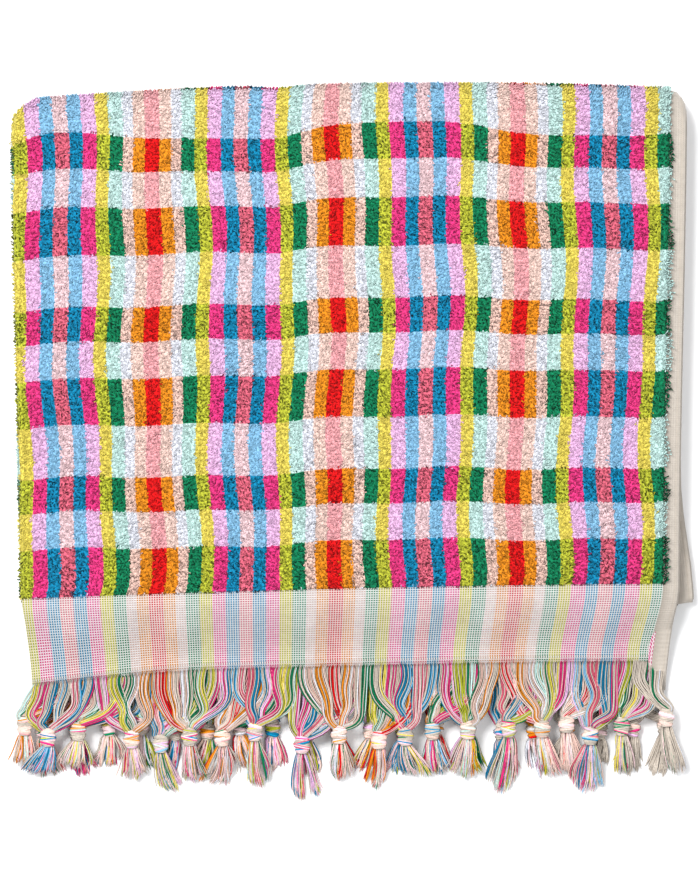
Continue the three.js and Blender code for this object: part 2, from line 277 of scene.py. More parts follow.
@dataclass
class FoldedCloth:
    """The cloth's sizes and the map from its flat places to where they lie when it is folded.

    Places are u across the cloth from the outer selvedge, v along it from the near end, and lift, the
    distance outwards from the middle of the cloth's own thickness.

    Attributes:
        outer_half: Width of the half that lies outside.
        inner_half: Width of the half that lies inside.
        selvedge: Width of the plain selvedge at each side.
        terry: Thickness of the terry with its pile.
        gap: Air between two layers.
        thin_step: Distance of a layer of border or selvedge from the middle of its pair of layers.
        top_fold: The Y that the thick fold reaches.
        low_fold: The Y that the low fold reaches.
        pile_end: The Y where the pile ends and the near border begins.
        cloth_end: The Y where the near border ends and the fringe begins.
        near_height: Height of the near border's end.
        far_height: Height of the far border's end.
        crest: The X where the thick fold reaches farthest back.
        top_curve: How strongly it curves forward from there.
        low_slope: How far the front edges come forward from right to left.
        low_power: How that grows along the edge.
        dent: Middle, width and depth of the shallow dent in the thick fold.
        left_corner: Depth and width of the rounding of the far left corner.
        right_corner: Depth and width of the rounding of the far right corner.
        hang: How far the border's left end hangs down.
        flap: How far the inner half's selvedge slips towards the front at its end.
        wave: Height of the broad waves, as a share of the height above the floor.
        droop: How far the open side sinks, as a share of the height above the floor.
        ripple: Height of the border's ripples, as a share of the height above the floor.
        slip_reach: How far along the cloth the low fold's slip to the right dies out.
        stretches: The straight runs and half turns, from the near end to the far end.
        turns: How the cloth is drawn in along them.
        offset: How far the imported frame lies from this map's own axes.
    """

    outer_half: float = 368.0
    inner_half: float = 368.6
    selvedge: float = 9.0
    terry: float = 3.0
    gap: float = 0.5
    thin_step: float = 0.8
    top_fold: float = 198.5
    low_fold: float = -90.0
    pile_end: float = -77.0
    cloth_end: float = -120.5
    near_height: float = 5.6
    far_height: float = 2.4
    crest: float = 50.0
    top_curve: float = 0.00017
    low_slope: float = 8.5
    low_power: float = 1.7
    dent: tuple[float, float, float] = (-40.0, 13.0, 1.6)
    left_corner: tuple[float, float] = (8.0, 16.0)
    right_corner: tuple[float, float] = (6.5, 5.5)
    hang: float = 6.8
    flap: float = 16.0
    wave: float = 0.014
    droop: float = 0.14
    ripple: float = 0.115
    slip_reach: float = 66.0
    stretches: list[Stretch] = field(init=False)
    turns: list[Turn] = field(init=False)
    offset: tuple[float, float] = field(init=False, default=(0.0, 0.0))

    def __post_init__(self) -> None:
        """Work out the stretches and turns, and where the frame puts the origin."""
        self.stretches = self._stretches()
        self.turns = self._turns()
        self.offset = self._offset()

    @property
    def layer_pitch(self) -> float:
        """Height of one layer and its gap."""
        return self.terry + self.gap

    @property
    def pair_half(self) -> float:
        """Half the height of two layers."""
        return self.layer_pitch - self.gap / 2

    @property
    def width(self) -> float:
        """Width of the whole cloth."""
        return self.outer_half + self.inner_half

    @property
    def border(self) -> float:
        """Length of a border."""
        return self.pile_end - self.cloth_end

    @property
    def length(self) -> float:
        """Length of the cloth without its fringe."""
        return self.stretches[-1].start + self.stretches[-1].length

    @property
    def half_turn(self) -> float:
        """Half the width of cloth in the lengthwise fold."""
        return math.pi * self.layer_pitch / 4

    def pair_height(self, pair: float) -> float:
        """Height of the middle of a pair of layers, counted from the surface."""
        return self.pair_half + pair * 2 * self.layer_pitch

    def stretch(self, name: str) -> Stretch:
        """Find a stretch by its name."""
        return next(one for one in self.stretches if one.name == name)

    def _stretches(self) -> list[Stretch]:
        """List the stretches from the near end to the far end.

        Returns:
            The four runs and the three turns between them.
        """
        pitch = self.layer_pitch
        top = self.top_fold - 3 * pitch - self.pair_half
        low = self.low_fold + pitch + self.pair_half
        middle = self.pair_height(1.5)
        wide, tight = math.pi * 3 * pitch, math.pi * pitch
        end, deep = top - self.cloth_end, top - low
        plan = [
            ("near", end, self.cloth_end, self.pair_height(3), {"way": 1}),
            ("top", wide, top, middle, {"radius": 3 * pitch, "turn": (90, -90)}),
            ("base", deep, top, self.pair_height(0), {"way": -1, "facing": -1}),
            ("low", tight, low, self.pair_height(0.5), {"radius": pitch, "turn": (-90, -270)}),
            ("middle", deep, low, self.pair_height(1), {"way": 1}),
            ("inner", tight, top, middle, {"radius": pitch, "turn": (-90, 90), "facing": -1}),
            ("far", end, top, self.pair_height(2), {"way": -1, "facing": -1}),
        ]
        found: list[Stretch] = []
        start = 0.0
        for name, length, y, z, rest in plan:
            found.append(Stretch(name, start, length, y, z, **rest))
            start += length
        return found

    def _turns(self) -> list[Turn]:
        """List how the cloth is drawn in, from the near end to the far end.

        Returns:
            The places where its width and shift are given.
        """

        def half_way(name: str) -> float:
            """Where along the cloth a stretch has its middle."""
            one = self.stretch(name)
            return one.start + one.length / 2

        return [
            Turn(0.0, 0.955, -2.2),
            Turn(self.border, 0.9825, -0.6),
            Turn(half_way("top"), 1.006, -0.85),
            Turn(self.stretch("low").start - self.slip_reach, 0.991, -0.6),
            Turn(half_way("low"), 0.995, 5.9),
            Turn(self.stretch("middle").start + self.slip_reach, 0.991, -0.6),
            Turn(half_way("inner"), 1.0, -0.6),
            Turn(self.length - self.border, 0.98, 0.0),
            Turn(self.length, 0.955, -2.0),
        ]

    def _offset(self) -> tuple[float, float]:
        """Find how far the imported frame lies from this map's own axes.

        Returns:
            The distances along X and Y.
        """
        u, v = np.meshgrid(np.linspace(0, self.width, 371), np.linspace(0, self.length, 301))
        full = mix(0.5, self.terry / 2, self.pile(u, v, 0.0, 0.0, 2.5))
        own = np.concatenate([self.lay(u, v, full).reshape(-1, 3), self.lay(u, v, -full).reshape(-1, 3)])
        far_corner = np.array(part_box("towel_cloth")[1]) / METRES - own.max(axis=0)
        return (float(far_corner[0]), float(far_corner[1]))

    def pile(self, u: Array, v: Array, side: float, end: float, within: float) -> Array:
        """How much pile there is, from 0 on border and selvedge to 1 on the terry.

        Args:
            u: Places across the cloth.
            v: Places along the cloth.
            side: How far outside the terry's sides the rise begins.
            end: How far outside the terry's ends the rise begins.
            within: How far inside the terry the rise ends.

        Returns:
            The share of full pile at each place.
        """
        from_side = np.minimum(u, self.width - u) - self.selvedge
        from_end = np.minimum(v, self.length - v) - self.border
        return np.minimum(ease(from_side, -side, within), ease(from_end, -end, within))

    def _middle(self, v: Array) -> Array:
        """Follow the middle of the two layers along the cloth.

        Args:
            v: Places along the cloth.

        Returns:
            Rows of Y, Z and the two parts of the outward direction.
        """
        line = np.zeros((4, v.size))
        last = self.stretches[-1]
        for one in self.stretches:
            here = v < one.start + one.length if one is not last else np.ones(v.size, bool)
            here &= v >= one.start if one.start > 0 else True
            line[:, here] = one.middle(v[here])
            if one.name in ("near", "far"):
                end = self.near_height if one.name == "near" else self.far_height
                fall = ease(line[0, here], self.cloth_end, self.pile_end - 2)
                line[1, here] = mix(end, line[1, here], fall)
        return line

    def _drawn_in(self, v: Array) -> tuple[Array, Array]:
        """Ease the cloth in and aside from one turn to the next.

        Args:
            v: Places along the cloth.

        Returns:
            The share of its full width, and the shift along X.
        """
        at = [turn.at for turn in self.turns]
        i = np.clip(np.searchsorted(at, v, side="right") - 1, 0, len(at) - 2)
        starts = np.array(at)
        t = np.clip((v - starts[i]) / (starts[i + 1] - starts[i]), 0, 1)
        t = t * t * (3 - 2 * t)
        widths = np.array([turn.width for turn in self.turns])
        shifts = np.array([turn.shift for turn in self.turns])
        return mix(widths[i], widths[i + 1], t), mix(shifts[i], shifts[i + 1], t)

    def _settle(self, x: Array, y: Array, z: Array) -> Array:
        """Bend the true stack into the uneven one and move it into the frame.

        Args:
            x: Places along X in the true stack.
            y: Places along Y.
            z: Heights.

        Returns:
            Points, one to a row.
        """
        left, right = -self.outer_half / 2 - 1, self.outer_half / 2 + 1
        up = ease(y, self.low_fold, self.top_fold)
        dent_x, dent_width, dent_depth = self.dent
        top_lie = -self.top_curve * (x - self.crest) ** 2
        top_lie -= dent_depth * np.exp(-(((x - dent_x) / dent_width) ** 2))
        low_lie = -self.low_slope * np.clip((right - x) / (right - left), 0, 1.05) ** self.low_power
        drop = np.zeros_like(x)
        for reach, (depth, along) in ((left - x, self.left_corner), (x - right, self.right_corner)):
            drop += depth * np.clip(1 + reach / along, 0, 1.2) ** 2
        lie = mix(low_lie, top_lie, up) - drop * ease(y, self.top_fold - 36, self.top_fold - 8)
        lie -= self.hang * np.clip((-85 - x) / 100, 0, 1.05) ** 1.3 * ease(-y, 86, 119.5)
        waves = np.sin(x / 52 + 0.6) * np.cos(y / 61 - 0.4) + 0.6 * np.sin((x + y) / 83)
        calm = ease(y, self.low_fold - 20, self.low_fold + 40)
        edge = ease(x, right - self.selvedge - 6, right)
        folds = np.sin(x / 5.3 + 0.8 * np.sin(x / 21)) + 0.7 * np.sin(x / 9.1 + 1.3 + y / 40)
        rippled = self.ripple * folds * ease(-y, 84, 104)
        height = z * (1 + self.wave * waves * calm + rippled) * (1 - self.droop * edge)
        return np.stack([x + self.offset[0], y + lie + self.offset[1], height], axis=-1)

    def lay(self, u: Array, v: Array, lift: Array | float) -> Array:
        """Find where places of the flat cloth lie when it is folded.

        Args:
            u: Places across the cloth.
            v: Places along the cloth.
            lift: Distances outwards from the middle of the cloth's thickness.

        Returns:
            Points, in an array with one more axis than u.
        """
        u, v, lift = np.broadcast_arrays(*(np.asarray(values, float) for values in (u, v, lift)))
        shape = u.shape
        u, v, lift = u.ravel(), v.ravel(), lift.ravel()
        step = mix(self.thin_step, self.layer_pitch / 2, self.pile(u, v, self.selvedge - 1, 14.0, 0.0001))
        off = step + lift
        from_fold = u - self.outer_half
        fold_x = -self.outer_half / 2 + self.pair_half
        angle = np.clip(from_fold / self.half_turn, -1, 1) * math.pi / 2
        x = np.where(
            np.abs(from_fold) < self.half_turn,
            fold_x - np.cos(angle) * off,
            fold_x + np.abs(from_fold) - self.half_turn,
        )
        depth = -np.sin(angle) * off
        y, z, out_y, out_z = self._middle(v)
        widths, shifts = self._drawn_in(v)
        laid = self._settle(x * widths + shifts, y + out_y * depth, z + out_z * depth)
        laid[:, 1] -= self.flap * ease(u, self.width - 14, self.width - 7) * ease(-v, -26, -2)
        return laid.reshape(*shape, 3)


# Meshes from arrays


@dataclass
class Skin:
    """Points and four-sided faces gathered into one mesh.

    Attributes:
        points: Arrays of points in millimetres.
        quads: Arrays of four point numbers.
        shades: Arrays with a material number for each face.
        places: Arrays with a place on the flat cloth for each point.
        painted_shades: Arrays with how deep each point is painted in shade, where its neighbours would
            shade it, from 0 to 1.
    """

    points: list[Array] = field(default_factory=list)
    quads: list[Array] = field(default_factory=list)
    shades: list[Array] = field(default_factory=list)
    places: list[Array] = field(default_factory=list)
    painted_shades: list[Array] = field(default_factory=list)
    count: int = 0

    def add(
        self,
        points: Array,
        quads: Array,
        shade: Array | int = 0,
        places: Array | None = None,
        depth: Array | float = 0.0,
    ) -> None:
        """Add points and faces.

        Args:
            points: Points, one to a row.
            quads: Faces, counted from the first of these points.
            shade: A material number, or one for each face.
            places: Places on the flat cloth, one for each point.
            depth: How deep the points are painted in shade, or one for each point.
        """
        self.points.append(points)
        self.quads.append(quads + self.count)
        self.shades.append(np.broadcast_to(np.asarray(shade, int), len(quads)))
        self.places.append(np.zeros((len(points), 2)) if places is None else places)
        self.painted_shades.append(np.broadcast_to(np.asarray(depth, float), len(points)))
        self.count += len(points)

    def object(self, name: str, materials: Sequence[bpy.types.Material]) -> bpy.types.Object:
        """Make the mesh and its object.

        Args:
            name: The piece's name.
            materials: The materials that the face numbers stand for.

        Returns:
            The new object, at the origin.
        """
        points = np.concatenate(self.points) * METRES
        quads = np.concatenate(self.quads).astype(np.int32)
        shades = np.concatenate(self.shades).astype(np.int32)
        places = np.concatenate(self.places)
        mesh = bpy.data.meshes.new(name)
        mesh.vertices.add(len(points))
        mesh.vertices.foreach_set("co", points.ravel())
        mesh.loops.add(quads.size)
        mesh.loops.foreach_set("vertex_index", quads.ravel())
        mesh.polygons.add(len(quads))
        mesh.polygons.foreach_set("loop_start", np.arange(0, quads.size, 4, dtype=np.int32))
        used, numbers = np.unique(shades, return_inverse=True)
        for number in used:
            mesh.materials.append(materials[number])
        mesh.polygons.foreach_set("material_index", numbers.ravel().astype(np.int32))
        mesh.update(calc_edges=True)
        mesh.polygons.foreach_set("use_smooth", np.ones(len(quads), bool))
        layer = mesh.uv_layers.new(name=CLOTH_MAP)
        layer.uv.foreach_set("vector", places[quads.ravel()].astype(np.float32).ravel())
        shaded = mesh.attributes.new(PAINTED_SHADE, "FLOAT", "POINT")
        shaded.data.foreach_set("value", np.concatenate(self.painted_shades).astype(np.float32))
        mesh.validate()
        piece = bpy.data.objects.new(name, mesh)
        bpy.context.scene.collection.objects.link(piece)
        return piece


def tube_quads(count: int, rings: int, sides: int, closed: bool = False) -> Array:
    """Number the faces of many like tubes whose points run ring by ring.

    Args:
        count: How many tubes there are.
        rings: Rings of each tube.
        sides: Points of each ring.
        closed: Whether the last ring joins the first.

    Returns:
        Faces, four point numbers to a row.
    """
    around = np.arange(sides)
    following = (around + 1) % sides
    near = np.arange(rings if closed else rings - 1)[:, None] * sides
    far = ((np.arange(len(near)) + 1) % rings)[:, None] * sides
    one = np.stack([near + around, near + following, far + following, far + around], axis=-1).reshape(-1, 4)
    return (np.arange(count)[:, None, None] * rings * sides + one).reshape(-1, 4)


def tube_points(paths: Array, radii: Array, sides: int, closed: bool = False, up: Array = UP) -> Array:
    """Put rings of points round many paths.

    Args:
        paths: Points, as paths by steps by three.
        radii: Radii, as paths by steps.
        sides: Points of each ring.
        closed: Whether each path returns to its start.
        up: Where each ring's first point lies, as far as its path allows.

    Returns:
        Points, one to a row, ring by ring and path by path.
    """
    if closed:
        axis = np.roll(paths, -1, axis=1) - np.roll(paths, 1, axis=1)
    else:
        axis = np.gradient(paths, axis=1)
    axis = unit(axis)
    side = unit(np.cross(axis, up))
    above = np.cross(side, axis)
    angles = 2 * math.pi * np.arange(sides) / sides + math.pi / 2
    ring = np.cos(angles)[:, None] * side[:, :, None, :]
    ring = ring + np.sin(angles)[:, None] * above[:, :, None, :]
    return (paths[:, :, None, :] + radii[:, :, None, None] * ring).reshape(-1, 3)


# Materials


def add_node(tree: bpy.types.NodeTree, kind: str, settings: dict[str, Any], links: Any) -> Node:
    """Add a node with its settings and links.

    Args:
        tree: The material's node tree.
        kind: The node's type name, without its ShaderNode prefix.
        settings: The node's attributes by name.
        links: What its inputs get, by name, by number or in turn: a socket, a node for its first output, or
            a plain value.

    Returns:
        The new node.
    """
    node = tree.nodes.new("ShaderNode" + kind)
    for name, value in settings.items():
        setattr(node, name, value)
    for name, value in (links if isinstance(links, dict) else dict(enumerate(links))).items():
        source = value.outputs[0] if isinstance(value, bpy.types.Node) else value
        if isinstance(source, bpy.types.NodeSocket):
            tree.links.new(source, node.inputs[name])
        else:
            node.inputs[name].default_value = source
    return node


def new_material(name: str) -> tuple[bpy.types.Material, bpy.types.NodeTree, Node]:
    """Start a material.

    Args:
        name: The material's name.

    Returns:
        The material, its node tree and its shader.
    """
    material = bpy.data.materials.new(name)
    material.use_nodes = True
    tree = material.node_tree
    return material, tree, tree.nodes["Principled BSDF"]


@dataclass(frozen=True)
class CottonYarn:
    """Cotton yarn, ring-spun and dyed: matt, with a thin fuzz that catches light at grazing angles.

    Attributes:
        name: The yarn's plain name.
        colour: Its sRGB colour.
        fibre: Size of the lighter and darker flecks.
        uneven: How much lighter and darker they are.
        rough: Roughness of the fibres.
        fuzz: Strength of the fuzz.
        shade: How much darker the yarn is painted where its painted shade is deepest, as at the foot of the
            pile, where little light comes.
    """

    name: str
    colour: str
    fibre: float = 0.9
    uneven: float = 0.16
    rough: float = 0.88
    fuzz: float = 0.03
    shade: float = 0.95

    def build(self) -> bpy.types.Material:
        """Make the material.

        Returns:
            The material.
        """
        material, tree, shader = new_material(self.name)
        add = partial(add_node, tree)
        where = {"Vector": add("TexCoord", {}, ()).outputs["Object"]}
        size = {"Scale": 1 / (self.fibre * METRES), "Detail": 2.0, "Roughness": 0.6}
        fleck = add("TexNoise", {}, size | where)
        ends = {"From Min": 0.3, "From Max": 0.7, "To Min": 1 - self.uneven, "To Max": 1 + self.uneven}
        value = add("MapRange", {}, {"Value": fleck} | ends)
        # Painted shade: the colour darkens by each point's painted-shade value.
        depth = add("Attribute", {"attribute_name": PAINTED_SHADE}, ()).outputs["Fac"]
        fall = {"Value": depth, "To Min": 1.0, "To Max": 1 - self.shade}
        lit = add("MapRange", {"interpolation_type": "SMOOTHSTEP"}, fall)
        level = add("Math", {"operation": "MULTIPLY"}, (value, lit))
        tone = add("HueSaturation", {}, {"Value": level, "Color": linear(self.colour)})
        bump = add("Bump", {}, {"Strength": 0.35, "Distance": 0.15 * METRES, "Height": fleck})
        tree.links.new(tone.outputs[0], shader.inputs["Base Color"])
        tree.links.new(bump.outputs[0], shader.inputs["Normal"])
        shader.inputs["Roughness"].default_value = self.rough
        shader.inputs["Sheen Weight"].default_value = self.fuzz
        shader.inputs["Sheen Roughness"].default_value = 0.45
        shader.inputs["Specular IOR Level"].default_value = 0.08
        return material


@dataclass(frozen=True)
class TowelWeave:
    """Woven cotton: the ground between the loops, the flat borders and the plain selvedges.

    It is matt and a little soft at grazing angles. Its threads show as dots of dye in the border, and its
    loops, where none are modelled, as small lumps with painted shade round their edges.

    Attributes:
        cloth: The folded cloth, for its sizes.
        sett: The stripes and bands.
        pick: Distance between the dots that a dyed warp end shows along a stripe of the border.
        pick_share: Share of that distance that a dot takes up.
        end: Distance between dyed warp ends in a stripe of the border.
        end_share: Share of that distance that a warp end takes up.
        washed: Share of pale dye on the dots of the half of the border beside the pile.
        tint: Share of pale dye on the undyed yarn between the dots, and how much more is on a warp end.
        last_pick: Distance of the last row of dots from the cloth's end.
        last_share: Share of a warp end's distance that shows in that row.
        loop: Size of the lumps of the pile, where it has no loops of its own.
    """

    cloth: FoldedCloth
    sett: Sett
    pick: float = 1.25
    pick_share: float = 0.64
    end: float = 1.38
    end_share: float = 0.64
    washed: float = 0.12
    tint: tuple[float, float] = (0.05, 0.4)
    last_pick: float = 3.1
    last_share: float = 0.42
    loop: float = 1.5

    def build(self) -> bpy.types.Material:
        """Make the material.

        Returns:
            The material.
        """
        material, tree, shader = new_material("woven cotton terry with flat border")
        add, cloth = partial(add_node, tree), self.cloth
        parts = add("SeparateXYZ", {}, (add("UVMap", {"uv_map": CLOTH_MAP}, ()),))
        u, v = parts.outputs[0], parts.outputs[1]
        where = {"Vector": add("TexCoord", {}, ()).outputs["Object"]}
        lumps = {"Scale": 0.4 / (self.loop * METRES), "Detail": 3.0, "Roughness": 0.65}
        lump = add("TexNoise", {}, lumps | where)
        cells = {"Scale": 1 / (self.loop * METRES)}
        loop = add("TexVoronoi", {}, cells | where).outputs["Distance"]

        to_end = add("Math", {"operation": "SUBTRACT"}, (cloth.length, v))
        to_side = add("Math", {"operation": "SUBTRACT"}, (cloth.width, u))
        from_end = add("Math", {"operation": "MINIMUM"}, (v, to_end))
        from_side = add("Math", {"operation": "MINIMUM"}, (u, to_side))
        in_border = add("Math", {"operation": "LESS_THAN"}, (from_end, cloth.border))
        in_selvedge = add("Math", {"operation": "LESS_THAN"}, (from_side, cloth.selvedge))
        terry = self._terry(tree, u, v, lump, loop)
        woven = self._border(tree, u, v, from_end)
        plain = self._selvedge(tree, from_side)
        inside = add("Mix", COLOURS, {0: in_border, 6: terry, 7: woven}).outputs[2]
        colour = add("Mix", COLOURS, {0: in_selvedge, 6: inside, 7: plain}).outputs[2]
        mottled = {"From Min": 0.3, "From Max": 0.7, "To Min": 0.92, "To Max": 1.06}
        value = add("MapRange", {}, {"Value": lump} | mottled)
        tone = add("HueSaturation", {}, {"Value": value, "Color": colour})

        turns_u = add("Math", {"operation": "MULTIPLY"}, (u, 2 * math.pi / self.end))
        turns_v = add("Math", {"operation": "MULTIPLY"}, (v, 2 * math.pi / self.pick))
        ripples = [add("Math", {"operation": "SINE"}, (turns,)) for turns in (turns_u, turns_v)]
        weave = add("Math", {"operation": "MULTIPLY"}, (add("Math", {"operation": "ADD"}, ripples), 0.05))
        flat = add("Math", {"operation": "MAXIMUM"}, (in_border, in_selvedge))
        raised = add("Math", {"operation": "SUBTRACT"}, (1.0, loop))
        height = add("Mix", {}, {0: flat, 2: raised, 3: weave})
        bump = add("Bump", {}, {"Strength": 0.8, "Distance": 1.2 * METRES, "Height": height})
        tree.links.new(tone.outputs[0], shader.inputs["Base Color"])
        tree.links.new(bump.outputs[0], shader.inputs["Normal"])
        shader.inputs["Roughness"].default_value = 0.92
        shader.inputs["Sheen Weight"].default_value = 0.15
        shader.inputs["Sheen Roughness"].default_value = 0.5
        shader.inputs["Specular IOR Level"].default_value = 0.15
        return material

    @staticmethod
    def _banded(
        tree: bpy.types.NodeTree, share: Any, ends: Sequence[float], colours: Sequence[Any]
    ) -> Node:
        """Colour a place by the stripe or band that it lies in.

        Args:
            tree: The material's node tree.
            share: How far through the order of stripes or bands the place is.
            ends: Where each stripe or band ends.
            colours: The colour of each.

        Returns:
            The node of the colour.
        """
        node = add_node(tree, "ValToRGB", {}, {"Fac": share})
        node.color_ramp.interpolation = "CONSTANT"
        stops = node.color_ramp.elements
        while len(stops) < len(ends):
            stops.new(0.5)
        for stop, start, colour in zip(stops, [0.0, *ends[:-1]], colours):
            stop.position = start
            stop.color = colour
        return node

    def _stripes(self, tree: bpy.types.NodeTree, u: Any) -> tuple[Node, Node]:
        """Colour a place by its stripe, in the deep and in the pale shade of the stripe's dye.

        Args:
            tree: The material's node tree.
            u: The place across the cloth.

        Returns:
            The nodes of the deep and of the pale colour.
        """
        add, sett = partial(add_node, tree), self.sett
        placed = add("Math", {"operation": "ADD"}, (u, sett.start))
        turned = add("Math", {"operation": "PINGPONG"}, (placed, sett.order))
        stripe = add("Math", {"operation": "DIVIDE"}, (turned, sett.order))
        deep = [linear(dye.value[1]) for dye, _ in sett.stripes]
        pale = [linear(dye.value[2]) for dye, _ in sett.stripes]
        return self._banded(tree, stripe, sett.ends, deep), self._banded(tree, stripe, sett.ends, pale)

    def _terry(self, tree: bpy.types.NodeTree, u: Any, v: Any, lump: Any, loop: Any) -> Node:
        """Colour the ground between the loops, with deep and pale bands swapped on the inner face, and
        painted shade round each lump.

        Args:
            tree: The material's node tree.
            u: The place across the cloth.
            v: The place along it.
            lump: The lumps, which make the edges of stripes and bands waver.
            loop: The distance from the nearest loop, which sets the painted shade between the loops.

        Returns:
            The node of the colour.
        """
        add, repeat = partial(add_node, tree), self.sett.repeat
        inner = add("Attribute", {"attribute_name": INNER_FACE}, ()).outputs["Fac"]
        aside = add("Math", {"operation": "SUBTRACT"}, (lump, 0.5))
        waver = add("Math", {"operation": "MULTIPLY"}, (aside, 1.6))
        deep, pale = self._stripes(tree, add("Math", {"operation": "ADD"}, (u, waver)))
        along = add("Math", {"operation": "ADD"}, (v, waver))
        along = add("Math", {"operation": "SUBTRACT"}, (along, self.cloth.border))
        along = add("Math", {"operation": "WRAP"}, (along, repeat, 0.0))
        band = add("Math", {"operation": "DIVIDE"}, (along, repeat))
        white, black = (1.0, 1.0, 1.0, 1.0), (0.0, 0.0, 0.0, 1.0)
        in_pale = self._banded(tree, band, self.sett.band_ends, [black, white, black, white])
        inner = add("Math", {"operation": "ROUND"}, (inner,))
        swapped = add("Math", {"operation": "SUBTRACT"}, (in_pale, inner))
        swapped = add("Math", {"operation": "ABSOLUTE"}, (swapped,))
        colour = add("Mix", COLOURS, {0: swapped, 6: deep, 7: pale}).outputs[2]
        # Painted shade: darker away from the middle of each lump, where the loops would shade one another.
        painted_gap_shade = {"From Min": 0.1, "From Max": 0.75, "To Min": 1.0, "To Max": 0.5}
        crown = add("MapRange", {}, {"Value": loop} | painted_gap_shade)
        return add("HueSaturation", {}, {"Value": crown, "Color": colour})

    def _border(self, tree: bpy.types.NodeTree, u: Any, v: Any, from_end: Any) -> Any:
        """Colour the flat border: dots of dyed warp on undyed weft, the last row of them narrow.

        Args:
            tree: The material's node tree.
            u: The place across the cloth.
            v: The place along it.
            from_end: The distance from the nearer end.

        Returns:
            The socket of the colour.
        """
        add, white = partial(add_node, tree), linear(WHITE)
        deep, pale = self._stripes(tree, u)
        low_part = add("Math", {"operation": "LESS_THAN"}, (from_end, 0.5 * self.cloth.border))
        paler = add("Mix", COLOURS, {0: self.washed, 6: deep, 7: pale}).outputs[2]
        dyed = add("Mix", COLOURS, {0: low_part, 6: paler, 7: deep}).outputs[2]
        dyed = add("HueSaturation", {}, {"Value": DARKER, "Color": dyed})
        in_end = add("Math", {"operation": "DIVIDE"}, (u, self.end))
        in_end = add("Math", {"operation": "FRACT"}, (in_end,))
        in_pick = add("Math", {"operation": "DIVIDE"}, (v, self.pick))
        in_pick = add("Math", {"operation": "FRACT"}, (in_pick,))
        on_end = add("Math", {"operation": "LESS_THAN"}, (in_end, self.end_share))
        on_pick = add("Math", {"operation": "LESS_THAN"}, (in_pick, self.pick_share))
        dot = add("Math", {"operation": "MULTIPLY"}, (on_end, on_pick))
        tint = add("Math", {"operation": "MULTIPLY"}, (on_end, self.tint[1]))
        tint = add("Math", {"operation": "ADD"}, (tint, self.tint[0]))
        tinted = add("Mix", COLOURS, {0: tint, 6: white, 7: pale}).outputs[2]
        stitched = add("Mix", COLOURS, {0: dot, 6: tinted, 7: dyed}).outputs[2]
        at_last = add("Math", {"operation": "COMPARE"}, (from_end, self.last_pick, 0.5))
        narrow = add("Math", {"operation": "LESS_THAN"}, (in_end, self.last_share))
        last = add("Mix", COLOURS, {0: narrow, 6: white, 7: dyed}).outputs[2]
        return add("Mix", COLOURS, {0: at_last, 6: stitched, 7: last}).outputs[2]

    def _selvedge(self, tree: bpy.types.NodeTree, from_side: Any) -> Any:
        """Colour the selvedge: plain cream with a faint hem line, and darker where the pile shades it.

        Args:
            tree: The material's node tree.
            from_side: The distance from the nearer side.

        Returns:
            The socket of the colour.
        """
        add, width = partial(add_node, tree), self.cloth.selvedge
        hem = add("Math", {"operation": "COMPARE"}, (from_side, 0.24 * width, 0.35))
        faint = add("Math", {"operation": "MULTIPLY"}, (hem, 0.3))
        plain = add("Mix", COLOURS, {0: faint, 6: linear(CREAM), 7: linear(HEM)}).outputs[2]
        under_pile = {"From Min": width / 2, "From Max": width, "To Min": 0.0, "To Max": 0.6}
        shaded = add("MapRange", {}, {"Value": from_side} | under_pile)
        return add("Mix", COLOURS, {0: shaded, 6: plain, 7: linear(SHADED)}).outputs[2]


def yarn_materials() -> list[bpy.types.Material]:
    """Make the yarns' materials: deep ones, then pale ones with fainter painted shade, then the cream one.
    """
    deep = [CottonYarn(f"cotton yarn, dyed deep {dye.word}", dye.value[1]) for dye in DYES]
    pale = [CottonYarn(f"cotton yarn, dyed pale {dye.word}", dye.value[2], shade=0.6) for dye in DYES]
    return [yarn.build() for yarn in (*deep, *pale, CottonYarn("cotton yarn, undyed", CREAM_YARN))]


# The cloth


